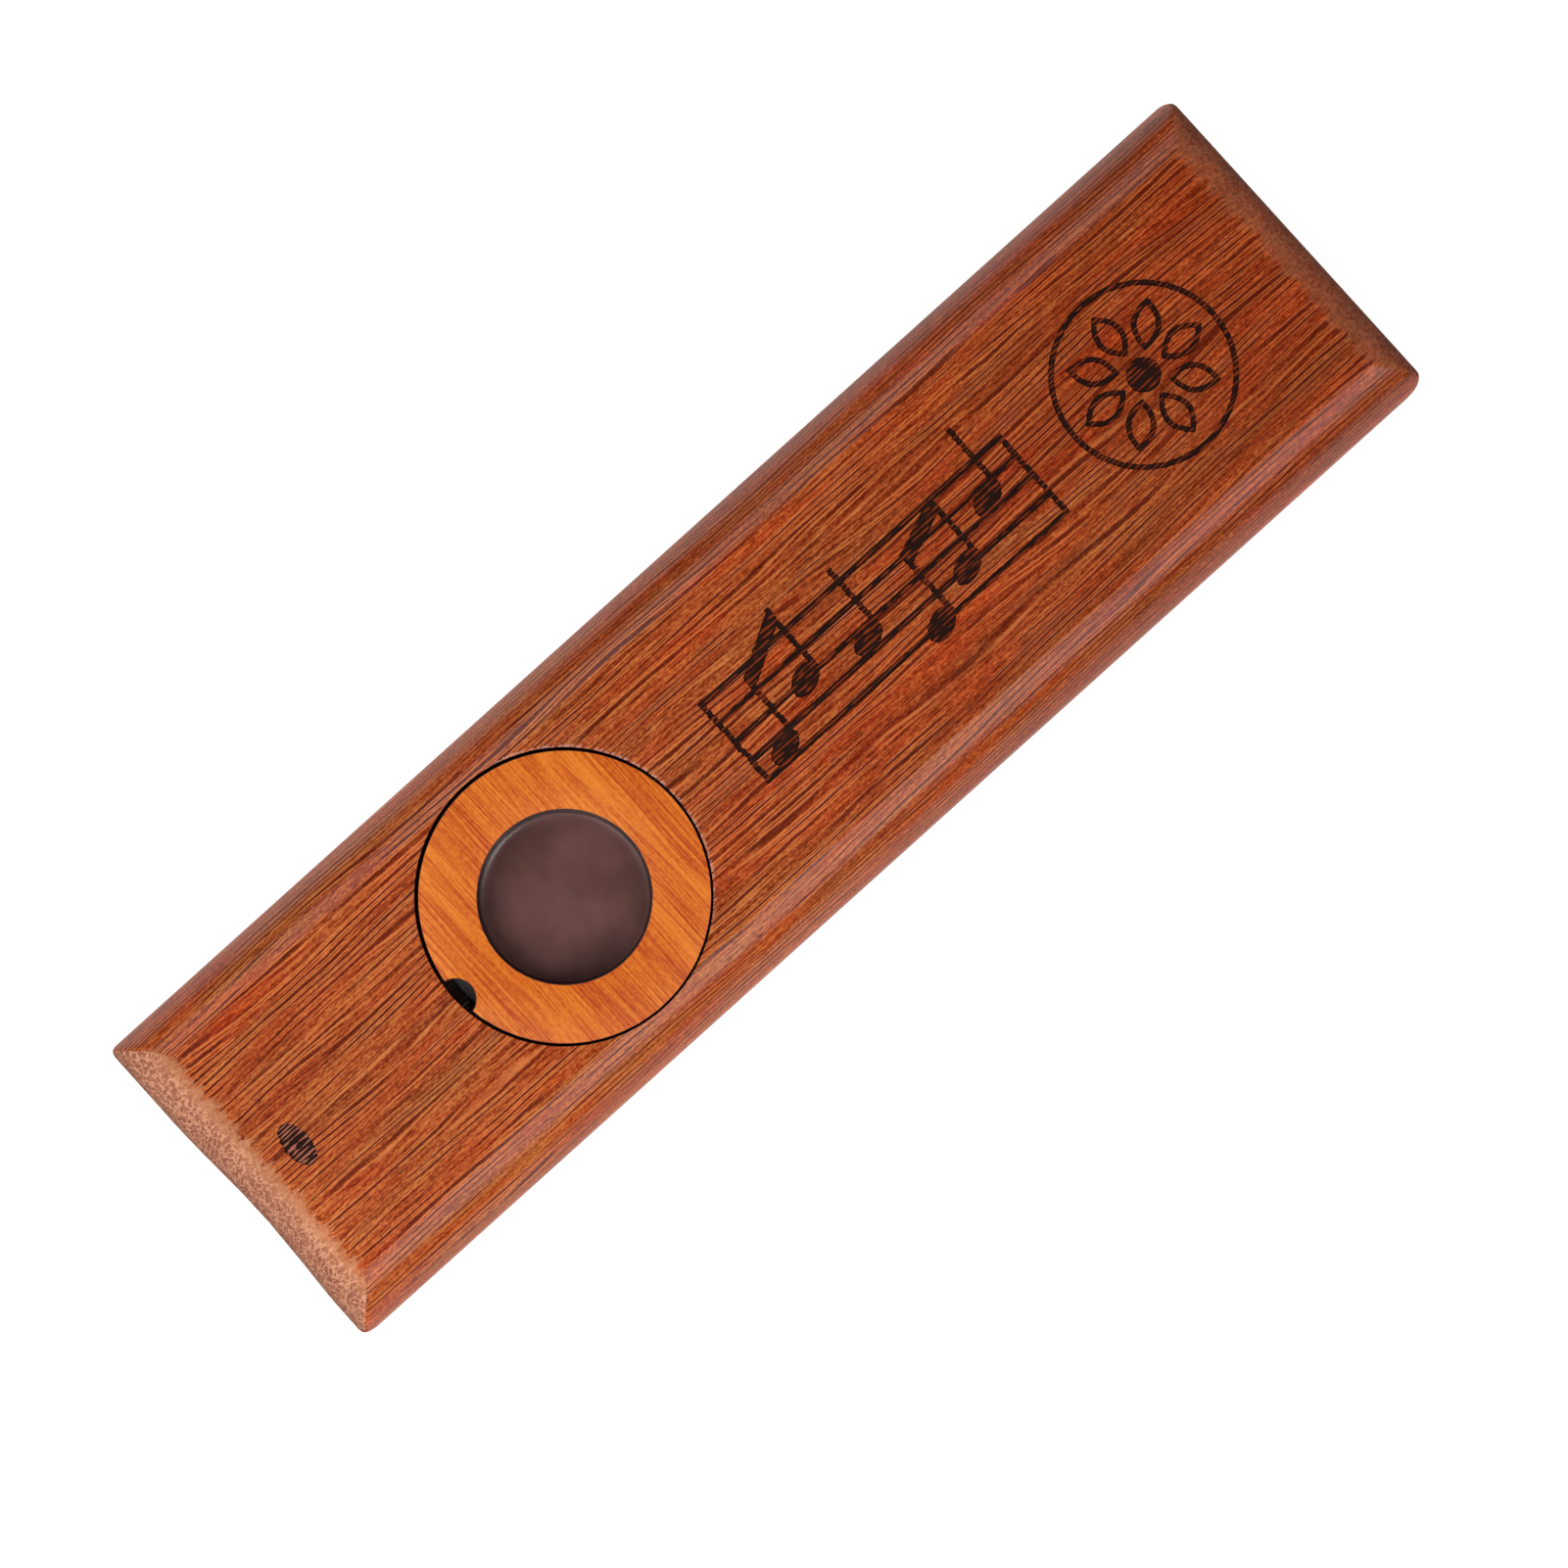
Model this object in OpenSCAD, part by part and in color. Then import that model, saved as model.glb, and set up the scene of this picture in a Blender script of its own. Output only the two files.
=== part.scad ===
// Wooden kazoo: a flat two-piece hardwood body with an air channel right through it, and a
// resonating membrane clamped in a round recess by a cover ring that magnets hold down.
// X runs from the mouth end (-X) to the far end (+X), Y across, Z up. The origin is the centre of
// the underside. Lengths are in millimetres.

/* [Body] */
// Length of the body from end to end
body_l = 120; // [110:1:140]
// Width of the body over its flat sides
body_w = 32.2; // [31:0.1:40]
// Thickness of the body, both halves glued together
body_h = 15; // [14:0.5:20]
// How far the rounding of the long edges reaches over the top
side_run = 4.2; // [2:0.1:5]
// How far the rounding of the long edges reaches down the side
side_drop = 5; // [3:0.1:6]
// How far the rounding of the mouth end reaches over the top
mouth_run = 3.9; // [1.5:0.1:4.4]
// How far the rounding of the mouth end reaches down the end
mouth_drop = 5.5; // [2.5:0.1:6]
// How far the rounding of the far end reaches over the top
far_run = 2.9; // [1.5:0.1:4]
// How far the rounding of the far end reaches down the end
far_drop = 3.8; // [2.5:0.1:6]
// Radius of the mouth end's two upright corners, seen from above
mouth_corner_r = 1; // [0.3:0.1:2]
// Radius of the far end's two upright corners, seen from above
far_corner_r = 1.5; // [0.3:0.1:2]

/* [Air channel] */
// Width of the air channel
channel_w = 12; // [8:0.5:16]
// Height of the air channel, half of it in each half of the body
channel_h = 5.6; // [4:0.1:6.4]
// Chamfer around the channel where it opens in each end
lip = 0.7; // [0.2:0.1:1]

/* [Membrane recess] */
// Distance of the recess centre from the mouth end
recess_from_mouth = 37.2; // [25:0.1:50]
// Diameter of the recess that the cover ring drops into
recess_d = 25; // [24.2:0.1:27]
// Diameter of the opening from the channel up to the membrane
throat_d = 14; // [10:0.5:15]
// Chamfer on the sharp edges of the recess and of the cover ring
edge_break = 0.15; // [0.1:0.05:0.3]

/* [Cover ring] */
// Thickness of the cover ring
ring_t = 2.5; // [2:0.1:3]
// Gap between the cover ring and the wall of its recess
ring_gap = 0.25; // [0.2:0.05:0.6]
// Diameter of the window in the cover ring
window_d = 14.5; // [12:0.1:15]
// Diameter of the fingernail notch in the rim of the cover ring
notch_d = 3.4; // [2:0.1:4]
// How far the fingernail notch reaches in from the rim
notch_depth = 1.45; // [1:0.05:2]

/* [Membrane] */
// Diameter of the membrane and its stiff rim
membrane_d = 23.2; // [22.6:0.1:23.4]
// Thickness of the film
film_t = 0.1; // [0.05:0.05:0.2]
// Thickness of the stiff rim that the film is bonded to
rim_t = 0.4; // [0.3:0.05:0.6]
// Radial width of the stiff rim
rim_w = 3.9; // [3:0.1:4]
// Radial gap between the membrane and the edge of its seat
membrane_gap = 0.2; // [0.1:0.05:0.3]

/* [Magnets] */
// Diameter of the magnets
magnet_d = 2; // [1.5:0.1:2.4]
// Thickness of the magnets
magnet_t = 1; // [0.5:0.1:1.2]
// Radial clearance of a magnet in its pocket
magnet_gap = 0.05; // [0.03:0.01:0.08]

/* [Engraving] */
// Depth of the burnt marks
burn_depth = 0.15; // [0.05:0.05:0.3]
// Width of the thin burnt lines
line_w = 0.5; // [0.2:0.05:0.6]
// Distance of the oval mouth-end mark from the mouth end
oval_from_mouth = 6.9; // [6:0.1:12]
// Distance of the oval mark from the middle line, towards -Y
oval_aside = 0.5; // [0:0.1:1]
// Size of the oval mark along the body
oval_l = 2.3; // [1.5:0.1:3]
// Size of the oval mark across the body
oval_w = 4.2; // [3:0.1:8]
// Distance of the middle of the stave from the mouth end
stave_from_mouth = 73.2; // [70:0.1:76]
// Length of the stave
stave_l = 34; // [26:0.5:36]
// Distance from one line of the stave to the next
stave_step = 2.1; // [1.6:0.1:2.4]
// Length of a note's oval head
head_l = 3.3; // [2.2:0.1:3.4]
// Length of a note's stem
stem_l = 6.6; // [5:0.1:7.5]
// Thickness of the beam that joins two notes
beam_t = 1.4; // [0.6:0.1:1.5]
// Distance of the rosette's centre from the mouth end
rosette_from_mouth = 102.4; // [100:0.1:104]
// Diameter of the rosette
rosette_d = 16; // [12:0.5:18]
// Diameter of the rosette's hub
hub_d = 3; // [1.6:0.1:3.2]
// Width of a rosette petal at its middle
petal_w = 2.6; // [1.6:0.1:2.6]

/* [Hidden] */
$fn = 96;
// How far a cutting shape runs past the face that it cuts
overrun = 1;
magnet_count = 4;
petal_count = 8;
stave_lines = 5;
oval_points = 36;
// The heights of the stack, from the underside up
seam_z = body_h / 2;
recess_z = body_h - ring_t;
seat_z = recess_z - rim_t - film_t;
// Radii about the membrane's axis
recess_r = recess_d / 2;
ring_r = recess_r - ring_gap;
window_r = window_d / 2;
membrane_r = membrane_d / 2;
seat_r = membrane_r + membrane_gap;
magnet_circle_r = (window_r + ring_r) / 2;
// Places along X
mouth_x = -body_l / 2;
recess_x = mouth_x + recess_from_mouth;
// The notes, each [place as a share of the stave's length, half steps above its middle line]
note_shares = [[0.09, -3], [0.24, 0], [0.42, -1], [0.58, -4], [0.72, -2], [0.87, 1]];
// The pairs of notes that a beam joins
beams = [[0, 1], [3, 4]];
// Slope of a note's oval head, in degrees
head_tilt = 22;

// Radius of an arc that is upright where it leaves the wall and reaches run over the top
function arc_r(run, drop) = (run * run + drop * drop) / (2 * run);

function oval(l, w) = [for (i = [0:oval_points - 1])
    let (a = 360 * i / oval_points) [cos(a) * l / 2, sin(a) * w / 2]];

// Where note i's head and the top of its stem are
function head_at(i) = [stave_l * (note_shares[i][0] - 1 / 2), note_shares[i][1] * stave_step / 2];
function stem_foot(i) = head_at(i) + [(head_l - line_w) / 2, 0];
function stem_top(i) = stem_foot(i) + [0, stem_l];

// What rounding takes off a square corner that stands at the origin
module edge_waste(run, drop) {
    r = arc_r(run, drop);
    difference() {
        translate([-overrun, -overrun]) square([run + overrun, drop + overrun]);
        translate([r, drop]) circle(r = r);
    }
}

// A block's outline with its two ends rounded above and below
module rounded_outline(l, h, run_a, drop_a, run_b, drop_b) {
    difference() {
        square([l, h]);
        edge_waste(run_a, drop_a);
        translate([l, 0]) mirror([1, 0]) edge_waste(run_b, drop_b);
        translate([0, h]) mirror([0, 1]) edge_waste(run_a, drop_a);
        translate([l, h]) rotate(180) edge_waste(run_b, drop_b);
    }
}

module cross_section() {
    translate([-body_w / 2, 0])
        rounded_outline(body_w, body_h, side_run, side_drop, side_run, side_drop);
}

module long_section() {
    translate([mouth_x, 0])
        rounded_outline(body_l, body_h, mouth_run, mouth_drop, far_run, far_drop);
}

module plan() {
    translate([mouth_x, -body_w / 2])
        rounded_outline(body_l, body_w, mouth_corner_r, mouth_corner_r, far_corner_r, far_corner_r);
}

// The outside of the whole body
module body_block() {
    intersection() {
        rotate([90, 0, 90])
            linear_extrude(body_l + 2 * overrun, center = true) cross_section();
        rotate([90, 0, 0])
            linear_extrude(body_w + 2 * overrun, center = true) long_section();
        linear_extrude(body_h) plan();
    }
}

// Half of the body, cut at the glue seam
module body_half(low_z, high_z) {
    intersection() {
        body_block();
        translate([mouth_x, -body_w / 2, low_z]) cube([body_l, body_w, high_z - low_z]);
    }
}

module slot_outline(w, h) {
    square([w - h, h], center = true);
    for (side = [-1, 1]) translate([side * (w - h) / 2, 0]) circle(d = h);
}

// The chamfer around the channel's mouth, opening towards +Z
module lip_cut() {
    flat_w = channel_w - channel_h;
    low_r = channel_h / 2;
    high_r = low_r + lip + overrun;
    for (side = [-1, 1])
        translate([side * flat_w / 2, 0, 0]) cylinder(r1 = low_r, r2 = high_r, h = lip + overrun);
    rotate([90, 0, 90]) linear_extrude(flat_w, center = true)
        polygon([[-low_r, 0], [low_r, 0], [high_r, lip + overrun], [-high_r, lip + overrun]]);
}

// The air channel, with its chamfered mouths
module channel_cut() {
    translate([0, 0, seam_z]) {
        rotate([90, 0, 90])
            linear_extrude(body_l + 2 * overrun, center = true) slot_outline(channel_w, channel_h);
        for (side = [-1, 1])
            translate([side * (body_l / 2 - lip), 0, 0])
                rotate([0, side * 90, 0]) rotate(90) lip_cut();
    }
}

// The stepped recess: the ring's, the membrane's and the throat down to the channel
module recess_cut() {
    translate([recess_x, 0, 0]) {
        translate([0, 0, recess_z]) cylinder(r = recess_r, h = ring_t + overrun);
        translate([0, 0, body_h - edge_break])
            cylinder(r1 = recess_r, r2 = recess_r + edge_break + overrun, h = edge_break + overrun);
        translate([0, 0, seat_z]) cylinder(r = seat_r, h = body_h - seat_z);
        translate([0, 0, seam_z - overrun]) cylinder(d = throat_d, h = body_h - seam_z);
    }
}

module at_magnet(i) {
    angle = 360 * (i - 1 / 2) / magnet_count;
    translate([recess_x, 0, 0]) rotate(angle) translate([magnet_circle_r, 0, 0]) children();
}

module oval_mark() {
    translate([mouth_x + oval_from_mouth, -oval_aside]) polygon(oval(oval_l, oval_w));
}

module note(i) {
    translate(head_at(i)) rotate(head_tilt) polygon(oval(head_l, stave_step));
    translate(stem_foot(i) - [line_w / 2, 0]) square([line_w, stem_l]);
}

module beam(pair) {
    from = stem_top(pair[0]);
    to = stem_top(pair[1]);
    down = [0, beam_t];
    half = [line_w / 2, 0];
    polygon([from - half, to + half, to + half - down, from - half - down]);
}

// A stave of music with a few notes on it
module stave_mark() {
    translate([mouth_x + stave_from_mouth, 0]) {
        for (i = [0:stave_lines - 1])
            translate([0, (i - (stave_lines - 1) / 2) * stave_step])
                square([stave_l, line_w], center = true);
        for (side = [-1, 1])
            translate([side * (stave_l - line_w) / 2, 0])
                square([line_w, (stave_lines - 1) * stave_step + line_w], center = true);
        for (i = [0:len(note_shares) - 1]) note(i);
        for (pair = beams) beam(pair);
    }
}

// Two arcs that meet in points, drawn by two circles
module lens(l, w, inset) {
    r = (l * l + w * w) / (4 * w);
    intersection() {
        translate([0, r - w / 2]) circle(r = r - inset);
        translate([0, w / 2 - r]) circle(r = r - inset);
    }
}

module ring_outline(outer_r, w) {
    difference() {
        circle(r = outer_r);
        circle(r = outer_r - w);
    }
}

// A traditional rosette: petals round a hub, inside a rim
module rosette_mark() {
    rim_r = rosette_d / 2;
    petal_from = hub_d / 2 + line_w;
    petal_l = rim_r - 3 * line_w - petal_from;
    translate([mouth_x + rosette_from_mouth, 0]) {
        ring_outline(rim_r, line_w);
        circle(d = hub_d);
        for (i = [0:petal_count - 1])
            rotate(360 * i / petal_count) translate([petal_from + petal_l / 2, 0])
                difference() {
                    lens(petal_l, petal_w, 0);
                    lens(petal_l, petal_w, line_w);
                }
    }
}

module burnt_marks_cut() {
    translate([0, 0, body_h - burn_depth]) linear_extrude(burn_depth + overrun) {
        oval_mark();
        stave_mark();
        rosette_mark();
    }
}

module upper_body() {
    color("sienna") difference() {
        body_half(seam_z, body_h);
        channel_cut();
        recess_cut();
        for (i = [1:magnet_count]) at_magnet(i)
            translate([0, 0, seat_z - magnet_t])
                cylinder(r = magnet_d / 2 + magnet_gap, h = magnet_t + overrun);
        burnt_marks_cut();
    }
}

module lower_body() {
    color("saddlebrown") difference() {
        body_half(0, seam_z);
        channel_cut();
    }
}

module cover_ring() {
    color("chocolate") difference() {
        translate([recess_x, 0, recess_z]) rotate_extrude() polygon([
            [window_r, 0], [ring_r, 0], [ring_r, ring_t - edge_break], [ring_r - edge_break, ring_t],
            [window_r + edge_break, ring_t], [window_r, ring_t - edge_break]
        ]);
        translate([recess_x - ring_r + notch_depth - notch_d / 2, 0, recess_z - overrun])
            cylinder(d = notch_d, h = ring_t + 2 * overrun);
        for (i = [1:magnet_count]) at_magnet(i)
            translate([0, 0, recess_z - overrun])
                cylinder(r = magnet_d / 2 + magnet_gap, h = magnet_t + overrun);
    }
}

module membrane_film() {
    color("rosybrown") translate([recess_x, 0, seat_z]) cylinder(r = membrane_r, h = film_t);
}

module membrane_rim() {
    color("dimgray") translate([recess_x, 0, seat_z + film_t]) difference() {
        cylinder(r = membrane_r, h = rim_t);
        translate([0, 0, -overrun]) cylinder(r = membrane_r - rim_w, h = rim_t + 2 * overrun);
    }
}

module magnet(i, low_z) {
    color("silver") at_magnet(i) translate([0, 0, low_z]) cylinder(d = magnet_d, h = magnet_t);
}

upper_body();
lower_body();
cover_ring();
membrane_film();
membrane_rim();
for (i = [1:magnet_count]) {
    magnet(i, recess_z);
    magnet(i, seat_z - magnet_t);
}
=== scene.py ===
"""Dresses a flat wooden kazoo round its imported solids.

The body's two halves, the cover ring, the membrane and the magnets each get a finely rounded mesh in
the place of their solid, and a procedural finish. Lengths in the code are in metres; MM is one
millimetre. Materials work in millimetres, on Object coordinates.
"""

import math

import bmesh
import bpy
from bpy.props import FloatProperty, FloatVectorProperty, IntProperty, PointerProperty
from mathutils import Matrix, Vector, noise


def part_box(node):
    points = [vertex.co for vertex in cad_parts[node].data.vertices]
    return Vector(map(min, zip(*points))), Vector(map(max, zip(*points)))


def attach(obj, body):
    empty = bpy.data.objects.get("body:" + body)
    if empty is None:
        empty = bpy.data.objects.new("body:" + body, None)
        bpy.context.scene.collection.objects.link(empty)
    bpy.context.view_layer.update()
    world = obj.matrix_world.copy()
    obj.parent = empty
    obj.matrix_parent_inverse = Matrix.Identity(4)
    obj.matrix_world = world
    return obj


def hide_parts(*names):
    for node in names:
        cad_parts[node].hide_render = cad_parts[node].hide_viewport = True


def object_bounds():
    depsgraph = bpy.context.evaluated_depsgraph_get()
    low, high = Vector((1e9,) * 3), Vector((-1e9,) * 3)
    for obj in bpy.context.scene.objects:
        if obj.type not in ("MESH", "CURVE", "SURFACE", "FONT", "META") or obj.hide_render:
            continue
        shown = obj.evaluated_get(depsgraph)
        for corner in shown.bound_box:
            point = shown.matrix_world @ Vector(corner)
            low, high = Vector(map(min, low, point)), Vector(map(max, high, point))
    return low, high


bl_info = {
    "name": "Wooden Kazoo",
    "version": (1, 0, 0),
    "blender": (4, 5, 0),
    "location": "3D View > Sidebar > Kazoo",
    "description": "Dresses a flat wooden kazoo with grain, burnt marks, a cover ring and a membrane",
    "category": "Add Mesh",
}

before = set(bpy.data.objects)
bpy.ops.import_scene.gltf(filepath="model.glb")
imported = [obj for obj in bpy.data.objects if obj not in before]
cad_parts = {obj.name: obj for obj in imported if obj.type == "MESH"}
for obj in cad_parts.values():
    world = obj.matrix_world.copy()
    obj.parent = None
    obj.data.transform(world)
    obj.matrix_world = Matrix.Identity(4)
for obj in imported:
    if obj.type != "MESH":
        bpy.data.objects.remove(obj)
CAD_LOW, CAD_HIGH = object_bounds()

MM = 0.001
TOP = CAD_HIGH.z
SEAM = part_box("lower_body")[1].z
RING_LOW, RING_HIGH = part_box("cover_ring")
FILM_LOW, FILM_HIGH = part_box("membrane_film")
RIM_LOW, RIM_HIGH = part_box("membrane_rim")
MEMBRANE_X = (FILM_LOW.x + FILM_HIGH.x) / 2
MEMBRANE_R = (FILM_HIGH.x - FILM_LOW.x) / 2
RING_R = RING_HIGH.y
# How far a cutting shape runs past the face that it cuts
OVERRUN = 1 * MM
# Faces narrower than this are taken out after a cut
SLIVER = 0.0005 * MM
# Points nearer to each other than this are joined
WELD = 0.001 * MM
# The spacing of the body's grid on its flats
GRID_STEP = 4 * MM
# How much deeper the mouth end's hollow is at the crease, and how far along the top it fades out
CREASE_HOLLOW = 0.5
HOLLOW_FADE = 8 * MM
# A burnt edge: the spacing of its points, and the length and width of its teeth
RAGGED_STEP = 0.16 * MM
TOOTH_L = 2.5 * MM
TOOTH_W = 0.22 * MM
MAGNET_PLAY = 0.05 * MM
RIM_EDGE = 0.06 * MM
# How many straight sides stand for each circle
RING_SIDES = 192
RECESS_SIDES = 160
MEMBRANE_SIDES = 128
NOTCH_SIDES = 64
POCKET_SIDES = 48
PETAL_SIDES = 48
DISC_SIDES = 64
# Rings of points up a magnet's wall
DISC_RINGS = 25


def length(name, description, default):
    """A size in the sidebar, in metres."""
    return FloatProperty(name=name, description=description, default=default, unit="LENGTH", precision=5)


def colour(name, description, default):
    """A colour in the sidebar, as linear red, green and blue."""
    return FloatVectorProperty(
        name=name, description=description, default=default, subtype="COLOR", min=0, max=1
    )


class KazooBodySizes(bpy.types.PropertyGroup):
    """Sizes of the wooden body, its channel and its recess"""

    side_run: length("Side rounding, across", "Reach of the long edges' rounding over the top", 4.2 * MM)
    side_drop: length("Side rounding, down", "Reach of the long edges' rounding down the side", 5 * MM)
    mouth_run: length("Mouth rounding, along", "Reach of the mouth end's rounding over the top", 3.9 * MM)
    mouth_drop: length("Mouth rounding, down", "Reach of the mouth end's rounding down the end", 5.5 * MM)
    far_run: length("Far rounding, along", "Reach of the far end's rounding over the top", 2.9 * MM)
    far_drop: length("Far rounding, down", "Reach of the far end's rounding down the end", 3.8 * MM)
    corner_r: length("Mouth corner radius", "Radius of the upright corners at the mouth end", 1 * MM)
    far_corner_r: length("Far corner radius", "Radius of the upright corners at the far end", 1.5 * MM)
    hollow: length("Mouth hollow", "How far the mouth end is sanded hollow", 0.38 * MM)
    hollow_w: length("Hollow width", "Width of the mouth end's hollow", 20 * MM)
    hollow_aside: length("Hollow aside", "Distance of the hollow's middle from the middle line", -3 * MM)
    crease_soften: length("Crease softening", "Width over which a sanded crease is eased", 0.6 * MM)
    side_ease: length("Side crease easing", "How much a long edge's crease is sanded down", 0.012 * MM)
    end_ease: length("End crease easing", "How much an end's crease is sanded down", 0.05 * MM)
    mitre_ease: length("Mitre easing", "Width of the easing where two roundings meet", 0.7 * MM)
    channel_w: length("Channel width", "Width of the air channel", 12 * MM)
    channel_h: length("Channel height", "Height of the air channel", 5.6 * MM)
    lip: length("Channel lip", "Rounding of the channel's mouths", 0.7 * MM)
    recess_d: length("Recess diameter", "Diameter of the cover ring's recess", 25 * MM)
    throat_d: length("Throat diameter", "Diameter of the hole from the channel to the film", 14 * MM)
    seat_gap: length("Seat gap", "Play of the membrane in its seat", 0.2 * MM)
    edge_break: length("Edge break", "Rounding of the recess's edge", 0.03 * MM)
    seam_groove: length("Seam groove", "Depth of the fine groove at the glued seam", 0.05 * MM)
    arc_steps: IntProperty(name="Rounding steps", description="Faces across one rounding", default=24)


class KazooMarkSizes(bpy.types.PropertyGroup):
    """Sizes and places of what is burnt into the top"""

    depth: length("Burn depth", "Depth of the burnt marks", 0.15 * MM)
    line_w: length("Line width", "Width of the thin burnt lines", 0.5 * MM)
    ragged: length("Raggedness", "How far a burnt edge wanders along the grain", 0.12 * MM)
    oval_x: length("Oval place", "Distance of the oval mark from the mouth end", 6.9 * MM)
    oval_aside: length("Oval aside", "Distance of the oval mark from the middle line", 0.5 * MM)
    oval_l: length("Oval length", "Size of the oval mark along the body", 2.3 * MM)
    oval_w: length("Oval width", "Size of the oval mark across the body", 4.2 * MM)
    stave_x: length("Stave place", "Distance of the stave's middle from the mouth end", 73.2 * MM)
    stave_l: length("Stave length", "Length of the stave", 34 * MM)
    stave_step: length("Stave step", "Distance from one line of the stave to the next", 2.1 * MM)
    stave_lines: IntProperty(name="Stave lines", description="Number of lines in the stave", default=5)
    head_l: length("Note head", "Length of a note's oval head", 3.3 * MM)
    stem_l: length("Stem length", "Length of a note's stem", 6.6 * MM)
    beam_t: length("Beam thickness", "Thickness of the beam that joins two notes", 1.4 * MM)
    rosette_x: length("Rosette place", "Distance of the rosette's centre from the mouth end", 102.4 * MM)
    rosette_d: length("Rosette diameter", "Diameter of the rosette", 16 * MM)
    hub_d: length("Hub diameter", "Diameter of the rosette's hub", 3 * MM)
    petal_w: length("Petal width", "Width of a petal at its middle", 2.6 * MM)
    petals: IntProperty(name="Petals", description="Number of petals in the rosette", default=8)


class KazooRingSizes(bpy.types.PropertyGroup):
    """Sizes of the ring, the membrane and the magnets"""

    window_d: length("Window diameter", "Diameter of the window in the cover ring", 14.5 * MM)
    notch_d: length("Notch diameter", "Diameter of the fingernail notch", 3.4 * MM)
    notch_depth: length("Notch depth", "How far the fingernail notch reaches in", 1.45 * MM)
    edge_r: length("Edge rounding", "Rounding of the ring's upper edges", 0.08 * MM)
    slip_x: length("Slip along", "How far the loose ring lies off its recess's middle", 0.04 * MM)
    slip_y: length("Slip across", "How far the loose ring lies off its recess's middle", -0.06 * MM)
    turn: FloatProperty(
        name="Turn",
        description="How far the loose ring is turned in its recess",
        default=math.radians(1.2),
        subtype="ANGLE",
    )
    rim_w: length("Rim width", "Radial width of the membrane's stiff rim", 3.9 * MM)
    film_crown: length("Film crown", "How far the film's middle bulges", 0.04 * MM)
    film_roll: length("Film roll", "How far the film turns up at the window's edge", 0.1 * MM)
    roll_w: length("Roll width", "Width of the film's turned up edge", 0.9 * MM)
    magnet_edge: length("Magnet edge", "Rounding of a magnet's edges", 0.12 * MM)


class KazooColours(bpy.types.PropertyGroup):
    """Colours of every finish"""

    wood_deep: colour("Wood, deep", "Darkest streaks of the body's wood", (0.1, 0.009, 0.0008))
    wood_mid: colour("Wood, mid", "Most of the body's wood", (0.235, 0.031, 0.0055))
    wood_light: colour("Wood, light", "Lightest streaks of the body's wood", (0.4, 0.1, 0.022))
    # Partly pale grain and partly a painted highlight beside each dark line
    wood_pale: colour("Wood, shoulders", "Pale lines beside the dark ones", (0.5, 0.16, 0.045))
    wood_end: colour("Wood, end grain", "Pale walls between the pores at the ends", (0.46, 0.212, 0.122))
    # The end grain turns from the crease colour below to these pores outwards, a darkening that is partly
    # painted shade
    wood_pit: colour("Wood, end pores", "Cut pores at the ends", (0.215, 0.072, 0.045))
    wood_planed: colour("Wood, crease", "Smooth end grain beside the top", (0.32, 0.123, 0.057))
    # Pale chips on the recess's edge, partly a painted highlight
    chip_and_highlight: colour("Wood, chips", "Chipped edge of the recess", (0.42, 0.22, 0.17))
    burnt: colour("Burnt wood", "The burnt marks", (0.012, 0.0035, 0.002))
    burnt_streak: colour("Burnt streak", "Grain that shows through a burnt mark", (0.24, 0.08, 0.05))
    ring_mid: colour("Ring, mid", "Most of the ring's wood", (0.46, 0.097, 0.0052))
    ring_light: colour("Ring, light", "Light grain lines of the ring's wood", (0.57, 0.16, 0.013))
    ring_deep: colour("Ring, deep", "Dark grain lines of the ring's wood", (0.3, 0.03, 0.0005))
    film: colour("Film", "The membrane's film", (0.085, 0.036, 0.032))
    nickel: colour("Nickel", "The magnets' plating", (0.62, 0.6, 0.57))
    card: colour("Rim", "The membrane's stiff rim", (0.03, 0.025, 0.026))
    floor: colour("Floor", "The plain floor under the lights", (0.25, 0.25, 0.25))
    floor_glow: colour("Floor glow", "The light that comes through the floor", (1.0, 1.0, 1.0))


class KazooStageSizes(bpy.types.PropertyGroup):
    """The camera's distance and scale, and the floor"""

    camera_distance: length("Camera distance", "From the camera to the point that it aims at", 0.6)
    camera_scale: FloatProperty(
        name="Camera scale",
        description="Pixels per millimetre where the camera aims, in a picture 1601 pixels wide",
        default=12.08,
    )
    floor_size: length("Floor size", "Width of the floor", 6.0)


# Shader and geometry maths


class Term:
    """A node's output that Python's operators work on."""

    def __init__(self, graph, socket):
        self.graph = graph
        self.socket = socket

    @property
    def wide(self):
        """Whether it is a vector or a colour."""
        return self.socket.type in {"VECTOR", "RGBA"}

    def __add__(self, other):
        return self.graph.math("ADD", self, other)

    def __radd__(self, other):
        return self.graph.math("ADD", other, self)

    def __sub__(self, other):
        return self.graph.math("SUBTRACT", self, other)

    def __rsub__(self, other):
        return self.graph.math("SUBTRACT", other, self)

    def __mul__(self, other):
        return self.graph.math("MULTIPLY", self, other)

    def __rmul__(self, other):
        return self.graph.math("MULTIPLY", other, self)

    def __truediv__(self, other):
        return self.graph.math("DIVIDE", self, other)

    def __abs__(self):
        return self.graph.math("ABSOLUTE", self)


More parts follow.
